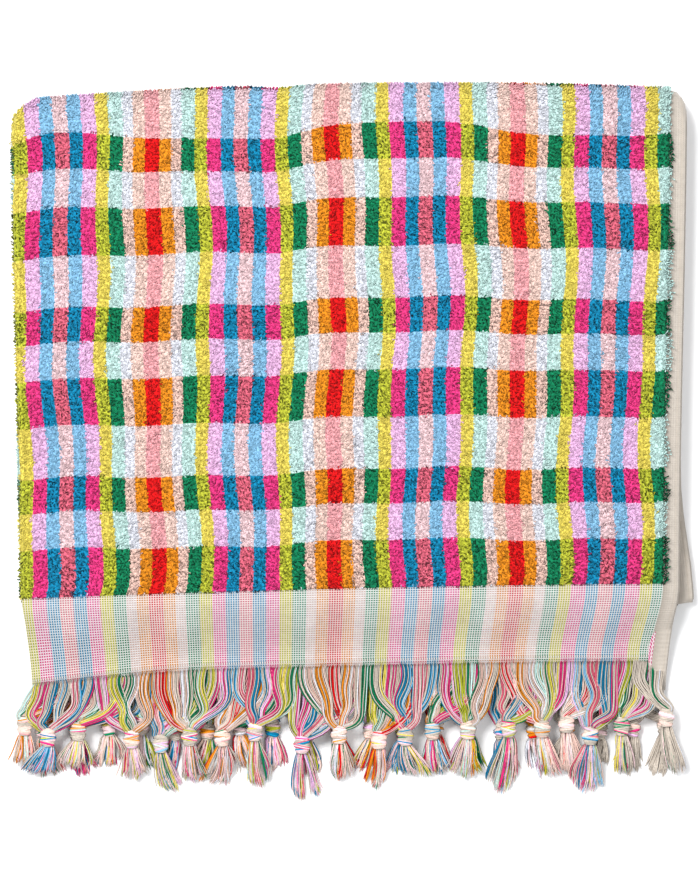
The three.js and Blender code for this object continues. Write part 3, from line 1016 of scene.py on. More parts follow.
@dataclass
class TowelSheet:
    """The cloth as a thin closed sheet on the folds, with stations close together where it bends.

    Attributes:
        cloth: The folded cloth.
        sett: The stripes and bands.
        name: The piece's name.
        terry_half: Half the thickness of the ground of the terry.
        flat_half: Half the thickness of border and selvedge.
        hemmed: Share of that thickness which is left at the cloth's two ends.
        rim: Stations beside each selvedge, counted from the side.
        across: Distance between stations across the rest of the cloth.
        along: Distance between stations along the run that shows, and along the runs inside.
        border_step: Distance between stations along the borders.
        turn_steps: Stations in each half turn.
    """

    cloth: FoldedCloth
    sett: Sett
    name: str = "towel_sheet"
    terry_half: float = 1.25
    flat_half: float = 0.45
    hemmed: float = 0.45
    rim: tuple[float, ...] = (0.0, 1.5, 4.5, 7.0, 8.7, 9.2, 10.0, 11.5)
    across: float = 6.0
    along: tuple[float, float] = (7.0, 14.0)
    border_step: float = 4.0
    turn_steps: int = 14

    def stations_across(self) -> Array:
        """Choose the stations across the cloth.

        Returns:
            The places, from the outer selvedge to the inner one.
        """
        cloth, fold, rim = self.cloth, self.cloth.outer_half, self.rim
        parts = [
            rim,
            np.arange(rim[-1] + 3, fold - cloth.half_turn - 3, self.across),
            np.linspace(fold - cloth.half_turn, fold + cloth.half_turn, self.turn_steps),
            np.arange(fold + cloth.half_turn + 3, cloth.width - rim[-1] - 3, self.across),
            [cloth.width - edge for edge in reversed(rim)],
        ]
        return np.concatenate(parts)

    def stations_along(self) -> Array:
        """Choose the stations along the cloth.

        Returns:
            The places, from the near end to the far end.
        """
        cloth = self.cloth
        step = np.array([-0.3, 0.2, 1.0, 2.5]) + cloth.border
        edge = np.concatenate([np.arange(0, cloth.border - 1, self.border_step), step])
        parts = [edge, cloth.length - edge]
        for one in cloth.stretches:
            if one.way:
                first = max(one.start + 2, cloth.border + 5)
                last = min(one.start + one.length - 2, cloth.length - cloth.border - 5)
                parts.append(np.arange(first, last, self.along[0 if one.name == "near" else 1]))
            else:
                parts.append(np.linspace(one.start, one.start + one.length, self.turn_steps))
        return np.sort(np.concatenate(parts))

    def build(self, material: bpy.types.Material) -> bpy.types.Object:
        """Args:
            material: The woven material.

        Returns:
            The sheet's object.
        """
        u, v = np.meshgrid(self.stations_across(), self.stations_along())
        half = mix(self.flat_half, self.terry_half, self.cloth.pile(u, v, 0.3, 0.3, 1.0))
        half = half * mix(self.hemmed, 1.0, ease(np.minimum(v, self.cloth.length - v), 0.0, 2.4))
        faces = [self.cloth.lay(u, v, half), self.cloth.lay(u, v, -half)]
        rows, columns = u.shape
        number = np.arange(rows * columns).reshape(rows, columns)
        below = number + number.size
        quads = [
            self._strip(number[:-1, :-1], number[1:, :-1], number[1:, 1:], number[:-1, 1:]),
            self._strip(below[:-1, :-1], below[:-1, 1:], below[1:, 1:], below[1:, :-1]),
            self._strip(number[:-1, 0], below[:-1, 0], below[1:, 0], number[1:, 0]),
            self._strip(number[1:, -1], below[1:, -1], below[:-1, -1], number[:-1, -1]),
            self._strip(number[0, 1:], below[0, 1:], below[0, :-1], number[0, :-1]),
            self._strip(number[-1, :-1], below[-1, :-1], below[-1, 1:], number[-1, 1:]),
        ]
        soft = self.cloth.pile(u, v, 0.0, 0.0, 6.0)
        worn_u, worn_v = self.sett.worn(u, v)
        places = np.stack([mix(u, worn_u, soft).ravel(), mix(v, worn_v, soft).ravel()], axis=-1)
        skin = Skin()
        points = np.concatenate([face.reshape(-1, 3) for face in faces])
        skin.add(points, np.concatenate(quads), 0, np.concatenate([places, places]))
        sheet = skin.object(self.name, [material])
        inner = sheet.data.attributes.new(INNER_FACE, "FLOAT", "POINT")
        inner.data.foreach_set("value", np.repeat([0.0, 1.0], number.size).astype(np.float32))
        return sheet

    @staticmethod
    def _strip(*corners: Array) -> Array:
        """Join four arrays of point numbers into faces."""
        return np.stack([corner.ravel() for corner in corners], axis=-1)


@dataclass
class LoopPile:
    """The loops that stand on the outer face of the terry, each a short bent noodle of one dyed yarn.

    Real loops are finer and closer together. These are as coarse as they need to be to show one by one.

    Attributes:
        cloth: The folded cloth.
        sett: The stripes and bands.
        column_pitch: Distance between roots across the cloth.
        row_pitch: Distance between roots along the cloth.
        edge_columns: Further columns beside the selvedge, counted from it.
        scatter: How far roots stray across and along the cloth.
        blur: How far loops stray over the edges of stripes and bands.
        fringed: How far the outermost roots lie outwards, at least and in the waves of the edge.
        drawn_in: Where along the cloth the edge grows even, before the thick fold.
        radius: Radius of a loop at its crown.
        end_radius: Radius of a loop at its feet.
        height: Height of a loop over its roots.
        span: Distance between its feet.
        curl: How far its crown turns aside.
        brushed: How far the loops lean in patches.
        ruffled: How far each leans its own way.
        splay: How far the outermost loops lean outwards.
        root_lift: How far the roots lie out from the middle of the cloth's thickness.
        seed: Start of its random numbers.
    """

    cloth: FoldedCloth
    sett: Sett
    column_pitch: float = 1.45
    row_pitch: float = 1.66
    edge_columns: tuple[float, ...] = (0.0, 0.5, 1.0, 1.5)
    scatter: tuple[float, float] = (0.42, 0.5)
    blur: float = 0.3
    fringed: tuple[float, float] = (0.4, 2.0)
    drawn_in: tuple[float, float] = (275.0, 300.0)
    radius: float = 0.46
    end_radius: float = 0.26
    height: float = 1.55
    span: float = 1.75
    curl: float = 0.4
    brushed: float = 0.42
    ruffled: float = 0.35
    splay: float = 0.55
    root_lift: float = 0.8
    seed: int = 5

    def _field(self) -> tuple[Array, Array]:
        """Lay out roots over the top and round the thick fold.

        Returns:
            Places across and along the cloth.
        """
        cloth, top = self.cloth, self.cloth.stretch("top")
        columns = np.arange(cloth.selvedge + 2.0, cloth.outer_half - cloth.half_turn, self.column_pitch)
        columns = np.concatenate([cloth.selvedge + np.array(self.edge_columns), columns])
        stretched = (top.radius + cloth.pair_half) / top.radius
        rows = [
            np.arange(cloth.border + 0.5, top.start, self.row_pitch),
            np.arange(top.start, top.start + 0.85 * top.length, self.row_pitch / stretched),
        ]
        u, v = np.meshgrid(columns, np.concatenate(rows))
        return u.ravel(), v.ravel()

    def _lengthwise_fold(self) -> tuple[Array, Array]:
        """Lay out roots round the lengthwise fold, all along the cloth.

        Returns:
            Places across and along the cloth.
        """
        cloth = self.cloth
        columns = np.linspace(cloth.outer_half - cloth.half_turn, cloth.outer_half + cloth.half_turn, 6)
        rows = np.arange(cloth.border + 0.5, cloth.length - cloth.border, self.row_pitch)
        u, v = np.meshgrid(columns, rows)
        return u.ravel(), v.ravel()

    def _low_corner(self) -> tuple[Array, Array]:
        """Lay out roots on the corner of the low fold that looks out beside the border.

        Returns:
            Places across and along the cloth.
        """
        cloth, low = self.cloth, self.cloth.stretch("low")
        columns = np.arange(cloth.selvedge, cloth.selvedge + 20, 0.7 * self.column_pitch)
        rows = np.linspace(low.start - 4, low.start + low.length, 14)
        u, v = np.meshgrid(columns, rows)
        return u.ravel(), v.ravel()

    def build(self, materials: Sequence[bpy.types.Material]) -> list[bpy.types.Object]:
        """Make one piece for each shade of yarn.

        Args:
            materials: The yarns' materials.

        Returns:
            The pieces.
        """
        rng = np.random.default_rng(self.seed)
        patches = [self._field(), self._lengthwise_fold(), self._low_corner()]
        u = np.concatenate([patch[0] for patch in patches])
        v = np.concatenate([patch[1] for patch in patches])
        count = len(u)
        odd = (np.round(v / self.row_pitch) % 2) * self.column_pitch / 2
        in_field = u < self.cloth.outer_half - 2 * self.cloth.half_turn
        stray_u, stray_v = self.scatter
        u = u + np.where(in_field, odd, 0.0)
        u = u + rng.uniform(-stray_u, stray_u, count) * np.where(in_field, 1, 0.5)
        v = v + rng.uniform(-stray_v, stray_v, count)
        soft = self.cloth.pile(u, v, 0.0, 0.0, 6.0)
        worn_u, worn_v = self.sett.worn(u, v)
        dyes = self.sett.dye_at(mix(u, worn_u, soft) + rng.normal(0, self.blur, count))
        along = mix(v, worn_v, soft) - self.cloth.border
        deep = self.sett.is_deep(along + rng.normal(0, self.blur, count))
        numbers = dyes + np.where(deep, 0, PALE)
        near_side = 1 - ease(u - self.cloth.selvedge, 0.5, 4.5)
        waves = 0.5 + 0.5 * np.sin(v / 6.1 + 2 * np.sin(v / 17))
        least, waving = self.fringed
        outwards = near_side * (least + waving * waves) * (1 - ease(v, *self.drawn_in))
        points = self._points(u - outwards, v, rng)
        # Painted shade between the deep loops of these dyes is half as deep again.
        dark = np.isin(numbers, [DYES.index(dye) for dye in DEEP_GAP_SHADE])
        painted_shades = np.minimum(self._painted_shade(count, rng) * np.where(dark, 1.5, 1.0)[:, None, None], 1.0)
        pieces = []
        for number in np.unique(numbers):
            mine = numbers == number
            chosen = points[mine]
            loops, rings, sides = chosen.shape[:3]
            quads = tube_quads(loops, rings, sides)
            places = np.repeat(np.stack([u[mine], v[mine]], axis=-1), rings * sides, axis=0)
            skin = Skin()
            skin.add(chosen.reshape(-1, 3), quads, number, places, painted_shades[mine].ravel())
            tone = "pale" if number >= PALE else "deep"
            name = f"pile_{DYES[number % PALE].word}_{tone}"
            pieces.append(skin.object(name, materials))
        LOG.info("pile: %d loops in %d shades", count, len(pieces))
        return pieces

    def _points(self, u: Array, v: Array, rng: np.random.Generator) -> Array:
        """Put a bent noodle on each root.

        Args:
            u: Roots across the cloth.
            v: Roots along the cloth.
            rng: The random numbers.

        Returns:
            Points, as loops by rings by sides by three.
        """
        count, reach = len(u), 0.4
        root = self.cloth.lay(u, v, self.root_lift)
        out = unit(self.cloth.lay(u, v, self.root_lift + 0.5) - root)
        beyond, before = (self.cloth.lay(u + way * reach, v, self.root_lift) for way in (1, -1))
        along_u = beyond - before
        along_u = unit(along_u - out * np.sum(along_u * out, axis=-1, keepdims=True))
        along_v = np.cross(out, along_u)
        turn = rng.uniform(0, 2 * math.pi, count)[:, None]
        way = np.cos(turn) * along_u + np.sin(turn) * along_v
        aside = np.cos(turn) * along_v - np.sin(turn) * along_u
        brushed_u = self.brushed * np.sin(v / 19 + 2 * np.sin(u / 33)) + 0.25 * np.sin(u / 8.1 + v / 14)
        brushed_v = self.brushed * np.cos(u / 23 + 2 * np.sin(v / 41)) - 0.15
        from_side = u - self.cloth.selvedge
        at_side = (1 - ease(from_side, -1.0, 3.0)) * (1 - 0.9 * ease(v, *self.drawn_in))
        low = self.cloth.stretch("low")
        at_low = 1 - ease(np.abs(v - low.start - low.length / 2), 6.0, 8.0)
        at_low = at_low * (u < self.cloth.selvedge + 21)
        at_end = 1 - ease(np.minimum(v, self.cloth.length - v) - self.cloth.border, 0.5, 4.5)
        lean_u = (brushed_u + rng.normal(0, self.ruffled, count) - self.splay * at_side)[:, None]
        lean_v = (brushed_v + rng.normal(0, self.ruffled, count) - 0.6 * self.splay * at_end)[:, None]
        taller = 1 + 0.1 * at_side + 1.6 * at_low
        tall = (self.height * rng.uniform(0.6, 1.2, count) * taller)[:, None]
        span = self.span * rng.uniform(0.7, 1.15, (count, 1))
        curl = self.curl * rng.uniform(-1, 1, (count, 1))
        path = []
        for share, rise in ((-0.5, 0.0), (0.0, 1.0), (0.5, 0.1)):
            tilt = rise * tall * (lean_u * along_u + lean_v * along_v)
            path.append(root + share * span * way + rise * (tall * out + curl * aside) + tilt)
        radii = [self.end_radius, self.radius, self.end_radius] * rng.uniform(0.8, 1.15, (count, 1))
        points = tube_points(np.stack(path, axis=1), radii, 3, up=out[:, None, :] + 0.01)
        points[:, 2] = np.maximum(points[:, 2], FLOOR_GAP)
        return points.reshape(count, len(path), 3, 3)

    def _painted_shade(self, count: int, rng: np.random.Generator) -> Array:
        """Find how deep each point is painted in shade: a loop's feet deepest, its crown's under side less.

        Args:
            count: How many loops there are.
            rng: The random numbers.

        Returns:
            Painted shade, as loops by rings by sides.
        """
        feet = np.array([1.0, 0.0, 0.9])[None, :, None]
        under = np.array([0.0, 0.4, 0.4])[None, None, :]
        # Painted shade on whole loops, deeper on some at random, standing in for dark gaps among them.
        own = 0.56 * rng.random((count, 1, 1)) ** 1.6
        return np.minimum(feet + under + own, 1.0)


# The fringe


@dataclass(frozen=True)
class Tassel:
    """One tassel.

    Attributes:
        x: Middle of its knot along X, before the frame's own offset.
        y: Middle of its knot along Y.
        sway: How far its skirt leans along X.
        tip: The Y that its skirt reaches.
        gathers: Width of border that it draws in, or 0 for half way to its neighbours.
        bow: How far the strands of its left side bow out to the left, near the border and near the knot.
        plain: Share of its yarns that are undyed, past those of every tassel.
    """

    x: float
    y: float
    sway: float
    tip: float
    gathers: float = 0.0
    bow: tuple[float, float] = (0.0, 0.0)
    plain: float = 0.0


@dataclass(frozen=True)
class FringeRow:
    """One row of tassels, on one half of the border at one end of the towel.

    Attributes:
        name: The frame's node that it stands for.
        near: Whether it is at the near end of the cloth.
        outer: Whether it is on the outer half.
        knot_height: Height of the middle of its knots.
        tip_height: Height of the ends of its skirts.
        tassels: Its tassels from left to right.
        seed: Start of its random numbers.
        fine: Share of the yarns that it has. A row that lies under the others has fewer and thicker ones.
    """

    name: str
    near: bool
    outer: bool
    knot_height: float
    tip_height: float
    tassels: tuple[Tassel, ...]
    seed: int
    fine: float = 1.0


FRONT_TASSELS = (
    Tassel(-166.5, -162.0, -7.0, -184.5, 33.0, (2.0, 11.0)),
    Tassel(-120.5, -163.0, 1.5, -187.0, 32.0),
    Tassel(-88.5, -161.5, 1.5, -188.5, 45.5),
    Tassel(-52.5, -159.0, 2.5, -191.5, 36.5),
    Tassel(-6.0, -160.5, 0.0, -187.5, 39.5),
    Tassel(30.5, -161.5, 6.0, -185.0, 38.0),
    Tassel(65.0, -158.0, -1.5, -186.0, 34.5),
    Tassel(106.0, -157.0, 4.5, -184.5, 39.5),
    Tassel(132.5, -161.0, 0.0, -194.0, 34.5),
    Tassel(174.5, -151.0, 5.5, -184.0, 17.0, plain=0.8),
)
SECOND_TASSELS = (
    Tassel(-179.5, -156.0, -1.5, -179.0, bow=(10.0, 2.0)),
    Tassel(-150.0, -159.0, -3.0, -180.0),
    Tassel(-104.5, -165.5, 5.0, -194.0),
    Tassel(-70.5, -162.0, -4.0, -190.0),
    Tassel(-26.5, -166.0, 1.5, -198.0),
    Tassel(16.0, -163.5, -2.0, -192.0),
    Tassel(45.5, -158.5, 2.0, -184.0),
    Tassel(87.5, -157.0, -4.0, -195.0),
    Tassel(119.5, -154.5, 2.0, -185.0),
    Tassel(150.0, -156.0, 1.0, -183.0, plain=0.6),
)


def hidden_tassels(offset: float) -> tuple[Tassel, ...]:
    """Place the tassels of a row of the far end, at an even pitch under the near ones.

    Args:
        offset: How far the row lies along X from the other one.

    Returns:
        The row's tassels.
    """
    first, pitch, y, uneven, sway, tip = -169.5, 36.2, -158.0, 1.6, 5.0, -183.0
    return tuple(
        Tassel(
            first + offset + i * pitch,
            y + uneven * math.sin(i * 2.4 + offset),
            sway * math.cos(i * 1.9 + offset),
            tip - 2 * uneven * math.cos(i * 2.9 + offset),
            plain=1.0 if i > 7 else 0.0,
        )
        for i in range(10)
    )


FRINGE_ROWS = (
    FringeRow("fringe_top", True, True, 13.6, 3.9, FRONT_TASSELS, 11),
    FringeRow("fringe_second", True, False, 11.8, 2.3, SECOND_TASSELS, 12),
    FringeRow("fringe_third", False, False, 5.0, 0.55, hidden_tassels(0.0), 13, 0.6),
    FringeRow("fringe_bottom", False, True, 3.2, 0.55, hidden_tassels(18.1), 14, 0.6),
)


@dataclass
class Fringe:
    """A row of tassels: gathered warp ends, a wound knot and a loose skirt for each.

    Attributes:
        cloth: The folded cloth.
        sett: The stripes and bands.
        row: The row's places.
        yarn_pitch: Distance between warp ends where they leave the border.
        dyed_radius: Radius of a dyed yarn.
        cream_radius: Radius of an undyed yarn.
        pale_share: Share of the warp ends whose dye is pale.
        cream_share: Share of them that are undyed, past every third one.
        root_lift: How far the roots lie out from the middle of the cloth's thickness.
        strand_width: Width of border whose warp ends make one strand.
        rope_width: Width of a strand at the knot.
        belly: How far the outer strands bow out above the knot.
        buckle: How far a slack strand rises.
        gather_steps: Points along a gathered yarn.
        knot_width: Width of a knot.
        knot_height: Height of a knot.
        knot_length: Length of a knot along Y.
        neck: Width of the yarns where they enter and leave the knot.
        bands: Bands of coils in a knot, each of them tilted its own way.
        wrap_yarns: Yarns wound together in a band.
        wrap_radius: Radius of a wound yarn.
        base_share: Share of the coils that have the colour of their band.
        ring_points: Points round a coil.
        skirt_yarns: Yarns in a skirt.
        skirt_locks: Locks that they hang together in.
        skirt_spread: How far a skirt fans out to each side.
        skirt_steps: Points along a yarn of the skirt.
        gather_painted_shade: How deep the crest and the flanks of a gathered yarn are painted in shade.
        skirt_painted_shade: How deep the crest and the flanks of a yarn of the skirt are painted in shade.
        coil_painted_shade: How deep a coil is painted in shade, at least and at most, at random from coil
            to coil.
        cream_painted_shade: Share of that painted shade that an undyed yarn has.
        skin: The row's points and faces.
    """

    cloth: FoldedCloth
    sett: Sett
    row: FringeRow
    yarn_pitch: float = 0.74
    dyed_radius: float = 0.44
    cream_radius: float = 0.38
    pale_share: float = 0.3
    cream_share: float = 0.12
    root_lift: float = 0.05
    strand_width: float = 7.5
    rope_width: float = 3.8
    belly: float = 6.0
    buckle: float = 2.6
    gather_steps: int = 15
    knot_width: float = 9.6
    knot_height: float = 6.8
    knot_length: float = 10.2
    neck: float = 5.8
    bands: int = 4
    wrap_yarns: int = 4
    wrap_radius: float = 0.46
    base_share: float = 0.62
    ring_points: int = 16
    skirt_yarns: int = 94
    skirt_locks: int = 8
    skirt_spread: float = 7.2
    skirt_steps: int = 8
    gather_painted_shade: tuple[float, float] = (0.36, 0.78)
    skirt_painted_shade: tuple[float, float] = (0.24, 0.64)
    coil_painted_shade: tuple[float, float] = (0.05, 0.42)
    cream_painted_shade: float = 0.52
    skin: Skin = field(default_factory=Skin)

    def build(self, materials: Sequence[bpy.types.Material]) -> bpy.types.Object:
        """Make the row as one piece.

        Args:
            materials: The yarns' materials.

        Returns:
            The row's object.
        """
        rng = np.random.default_rng(self.row.seed)
        edges = self._gather_edges()
        for tassel, low, high in zip(self.row.tassels, edges[:-1], edges[1:]):
            shades = self._gather(tassel, low, high, rng)
            self._knot(tassel, shades, rng)
            self._skirt(tassel, shades, rng)
        return self.skin.object(self.row.name + "_yarns", materials)

    def _gather_edges(self) -> list[float]:
        """Find where one tassel's warp ends part from the next one's, as shares of the border's width.

        Returns:
            Shares from 0 to 1, one more than there are tassels.
        """
        tassels, margin = self.row.tassels, 8.0
        edges = [0.0]
        first = tassels[0].x - margin
        for i, tassel in enumerate(tassels):
            following = tassels[i + 1].x if i + 1 < len(tassels) else tassel.x + 2 * margin
            half_way = (tassel.x + following) / 2 - first
            edges.append(edges[-1] + tassel.gathers if tassel.gathers else half_way)
        return [edge / edges[-1] for edge in edges]

    def _place_u(self, share: Array) -> Array:
        """Turn shares of the border's width into places across the cloth.

        Args:
            share: Shares of the border's width, from the left.

        Returns:
            Places across the cloth.
        """
        inset = 1.2
        open_edge = inset if self.row.outer else self.cloth.width - inset
        folded = self.cloth.outer_half + (-1 if self.row.outer else 1) * (self.cloth.half_turn + 0.5)
        return mix(folded, open_edge, share)

    def _yarn_shades(self, tassel: Tassel, u: Array, rng: np.random.Generator) -> Array:
        """Dye the warp ends: mostly in their stripe's deep shade, with every third end undyed.

        Args:
            tassel: The tassel.
            u: Places of the warp ends across the cloth.
            rng: The random numbers.

        Returns:
            Their material numbers.
        """
        paler = rng.random(len(u)) < self.pale_share
        shades = self.sett.dye_at(u) + np.where(paler, PALE, 0)
        plainer = rng.random(len(u)) < self.cream_share + 0.6 * tassel.plain
        cream = (np.arange(len(u)) % 3 == 1) | plainer
        return np.where(cream, UNDYED, shades)

    @staticmethod
    def _dyed(shades: Array) -> Array:
        """The dyed ones among some yarns, or all of them if none is dyed."""
        dyed = shades[shades != UNDYED]
        return dyed if len(dyed) else shades

    def _radii(self, shades: Array) -> Array:
        """Radius of each yarn: the cream ones are finer."""
        return np.where(shades == UNDYED, self.cream_radius, self.dyed_radius) / self.row.fine

    def _steps(self, steps: int) -> int:
        """How many of the steps the row keeps: fewer where it lies under the others."""
        return round(mix(steps / 3, steps, self.row.fine))

    def _rise(self, root_z: Array, y: Array) -> Array:
        """Height of the gathered yarns at a Y, from the border up to the knots."""
        local = y - self.cloth.offset[1]
        return mix(root_z, self.row.knot_height, ease(-local, 123.0, 153.0))

    def _gather(self, tassel: Tassel, low: float, high: float, rng: np.random.Generator) -> Array:
        """Draw the warp ends of one stretch of border together into the knot.

        Args:
            tassel: The tassel.
            low: Where its warp ends start, as a share of the border's width.
            high: Where they end.
            rng: The random numbers.

        Returns:
            The material numbers of its yarns.
        """
        ends = self._place_u(np.array([low, high]))
        width = abs(ends[1] - ends[0])
        count = max(14, round(self.row.fine * width / self.yarn_pitch))
        u = self._place_u(mix(low, high, (np.arange(count) + 0.5) / count))
        v = 2.2 if self.row.near else self.cloth.length - 2.2
        lift = self.root_lift if self.row.outer == self.row.near else -self.root_lift
        roots = self.cloth.lay(u, v, lift)
        shades = self._yarn_shades(tassel, u, rng)
        strands = max(2, round(width / self.strand_width))
        for k, part in enumerate(np.array_split(np.arange(count), strands)):
            side = (2 * k + 1) / strands - 1
            layer = (0.9 if k % 2 else -0.5) + rng.uniform(-0.3, 0.3)
            self._strand(tassel, roots[part], shades[part], side, layer, rng)
        return shades

    def _strand(
        self,
        tassel: Tassel,
        roots: Array,
        shades: Array,
        side: float,
        layer: float,
        rng: np.random.Generator,
    ) -> None:
        """Draw neighbouring warp ends together as one slack strand, flat at first and round at the knot.

        Args:
            tassel: The tassel.
            roots: Where the yarns leave the border.
            shades: Their material numbers.
            side: Which side of the tassel they come from, from -1 to 1.
            layer: How high the strand lies among the others at the knot.
            rng: The random numbers.
        """
        count, t = len(roots), np.linspace(0, 1, self._steps(self.gather_steps))
        top = np.array([tassel.x, tassel.y + self.knot_length / 2 - 1.5]) + self.cloth.offset
        start = roots.mean(axis=0)
        deep = start[1] - top[1]
        aside = start[0] - top[0]
        reach = min(abs(aside) * 0.75, self.belly) * np.sign(side if side else 1)
        sway = rng.uniform(1.2, 4.8) * rng.choice([-1, 1])
        left = max(0.0, -side)
        upper, lower = tassel.bow[0] * left, tassel.bow[1] * left
        fallen = rng.uniform(0.68, 0.95) * deep
        controls = [
            start[:2],
            start[:2] + np.array([1.1 * sway - upper, -0.38 * deep]),
            np.array([top[0] + 0.9 * aside - 2.6 * sway - lower, start[1] - fallen]),
            top + np.array([reach + 0.7 * sway - lower, rng.uniform(0.0, 0.3) * deep]),
            top + np.array([side * self.neck * 0.3, 0.0]),
        ]
        weights = [math.comb(4, k) * (1 - t) ** (4 - k) * t**k for k in range(5)]
        path = sum(weight[:, None] * control for weight, control in zip(weights, controls))
        path[:, 0] += rng.uniform(0.8, 2.2) * np.sin(8.2 * t + rng.uniform(0, 6.3)) * np.sin(math.pi * t)
        ahead = unit(np.gradient(path, axis=0))
        across = np.stack([-ahead[:, 1], ahead[:, 0]], axis=-1)
        place = np.linspace(-1, 1, count)[:, None] * np.sign(roots[-1, 0] - roots[0, 0])
        wide = mix(np.ptp(roots[:, 0]), self.rope_width, ease(t, 0.1, 0.95))
        wander = 0.22 * np.sin(9 * t + rng.uniform(0, 6.3, (count, 1))) * np.sin(math.pi * t)
        flat = path + across * (place * wide / 2 + wander)[:, :, None]
        flat += (roots[:, None, :2] - flat[:, :1]) * ((1 - t) ** 3)[:, None]
        crowd = ease(t, 0.1, 0.85)
        arch = mix(0.15, 1.4, crowd) * (1 - place**2) + layer * crowd
        uneven = rng.uniform(-0.3, 0.3, (count, 1)) * crowd
        lifted = self.buckle * self.row.fine**2 * rng.uniform(0.1, 1.0) * np.sin(math.pi * t**1.2) ** 2
        z = self._rise(start[2], flat[:, :, 1]) + arch + uneven + lifted - 0.4 * crowd
        z = np.maximum(z, 0.85)
        self._yarns(np.concatenate([flat, z[:, :, None]], axis=-1), shades, 1.0, self.gather_painted_shade)

    def _yarns(self, paths: Array, shades: Array, finer: float, depth: tuple[float, float]) -> None:
        """Add three-sided yarns along paths, drawn to a point at both ends.

        Args:
            paths: Points, as yarns by steps by three.
            shades: The yarns' material numbers.
            finer: Share of the full radius.
            depth: How deep the crest and the flanks of each yarn are painted in shade.
        """
        count, rings = paths.shape[:2]
        radii = np.repeat((self._radii(shades) * finer)[:, None], rings, axis=1)
        radii[:, [0, -1]] *= 0.06
        radii[:, 1:-1] *= 1.12
        faces = np.repeat(shades, (rings - 1) * 3)
        # Painted shade: each yarn's crest lighter and its flanks darker, less so on undyed yarn.
        share = np.where(shades == UNDYED, self.cream_painted_shade, 1.0)[:, None]
        painted_shades = np.repeat(share * [[depth[0], depth[1], depth[1]]], rings, axis=0).ravel()
        self.skin.add(tube_points(paths, radii, 3), tube_quads(count, rings, 3), faces, None, painted_shades)

    def _knot(self, tassel: Tassel, shades: Array, rng: np.random.Generator) -> None:
        """Wind the knot: a core, and coils that tilt one way above and the other way below.

        Args:
            tassel: The tassel.
            shades: The material numbers of its yarns.
            rng: The random numbers.
        """
        centre = np.array([*np.array([tassel.x, tassel.y]) + self.cloth.offset, self.row.knot_height])
        wraps = max(2, round(self.row.fine * self.wrap_yarns))
        coils, points = self.bands * wraps, self._steps(self.ring_points)
        radius = self.wrap_radius * self.wrap_yarns / wraps
        band, strand = np.divmod(np.arange(coils), wraps)
        strand = (strand - (wraps - 1) / 2) / wraps
        along = mix(0.74, -0.74, band / (self.bands - 1)) + 0.5 * strand
        lean = rng.uniform(0.06, 0.28, self.bands) * np.where(np.arange(self.bands) % 2, 1, -1)
        swell = rng.uniform(0.94, 1.06, self.bands)[band] * (1.02 - 0.16 * np.abs(strand))
        angle = np.linspace(0, 2 * math.pi, points, endpoint=False)
        ring = np.stack([np.cos(angle), np.zeros(points), np.sin(angle)], axis=-1)
        scale = np.array([self.knot_width / 2 - radius, 0.0, self.knot_height / 2 - radius])
        slope = (lean[band] * rng.choice([-1, 1]))[:, None] * ring[None, :, 0]
        level = np.clip(along[:, None] + slope, -0.96, 0.96)
        size = np.sqrt(1 - 0.62 * level**2) * swell[:, None]
        paths = centre + ring[None] * scale * size[:, :, None]
        paths[:, :, 1] += level * (self.knot_length / 2 - radius)
        bases = np.array([UNDYED, UNDYED, UNDYED, *SOFT])
        picked = rng.choice(self._dyed(shades), coils)
        is_base = rng.random(coils) < self.base_share + 0.3 * tassel.plain
        numbers = np.where(is_base, rng.choice(bases, self.bands)[band], picked)
        radii = np.full((coils, points), radius) * rng.uniform(0.92, 1.1, (coils, 1))
        quads = tube_quads(coils, points, 4, closed=True)
        # Painted shade, at random from coil to coil.
        painted_shades = np.repeat(rng.uniform(*self.coil_painted_shade, coils), points * 4)
        rings = tube_points(paths, radii, 4, closed=True)
        rings[:, 2] = np.maximum(rings[:, 2], FLOOR_GAP)
        self.skin.add(rings, quads, np.repeat(numbers, points * 4), None, painted_shades)
        steps = np.array([1.0, 0.55, 0.0, -0.55, -1.0])
        spine = centre + np.stack([np.zeros(5), steps * self.knot_length * 0.5, np.zeros(5)], axis=-1)
        core = np.sqrt(1 - 0.6 * steps**2)[:, None, None] * (ring * scale * 0.9)[None]
        self.skin.add((spine[:, None, :] + core).reshape(-1, 3), tube_quads(1, 5, points), UNDYED)

    def _skirt(self, tassel: Tassel, shades: Array, rng: np.random.Generator) -> None:
        """Let the yarns fall out of the knot in locks and lie down in a loose fan.

        Args:
            tassel: The tassel.
            shades: The material numbers of its yarns.
            rng: The random numbers.
        """
        count, locks = round(self.row.fine * self.skirt_yarns), self.skirt_locks
        t = np.linspace(0, 1, self._steps(self.skirt_steps))[None, :]
        centre = np.array([tassel.x, tassel.y]) + self.cloth.offset
        foot = centre[1] - self.knot_length / 2 + 1.4
        lock = np.arange(count) * locks // count
        side = 2 * (np.arange(count) + 0.5) / count - 1 + rng.normal(0, 0.07, count)
        stray = rng.random(count) < 0.04
        length = foot - (tassel.tip + self.cloth.offset[1])
        reach = length * rng.uniform(0.84, 1.02, locks)[lock] * rng.uniform(0.9, 1.05, count)
        reach = reach * (1 - 0.12 * side**2)
        spread = self.skirt_spread * rng.uniform(0.75, 1.15)
        fan = spread * side + rng.normal(0, 1.1, locks)[lock] + rng.normal(0, 0.55, count)
        fan = fan * np.where(stray, 1.5, 1.0)
        curl = rng.normal(0, 1.5, locks)[lock] + rng.normal(0, 0.3, count)
        x = centre[0] + side[:, None] * self.neck / 2 * 0.85 * (1 - t) + fan[:, None] * t**0.8
        x = x + tassel.sway * t**1.4 + curl[:, None] * np.sin(math.pi * t) * t
        x = x + 0.3 * np.sin(6 * t + rng.uniform(0, 6.3, (count, 1))) * t
        y = foot - reach[:, None] * t
        level = rng.uniform(-1, 1, (count, 1))
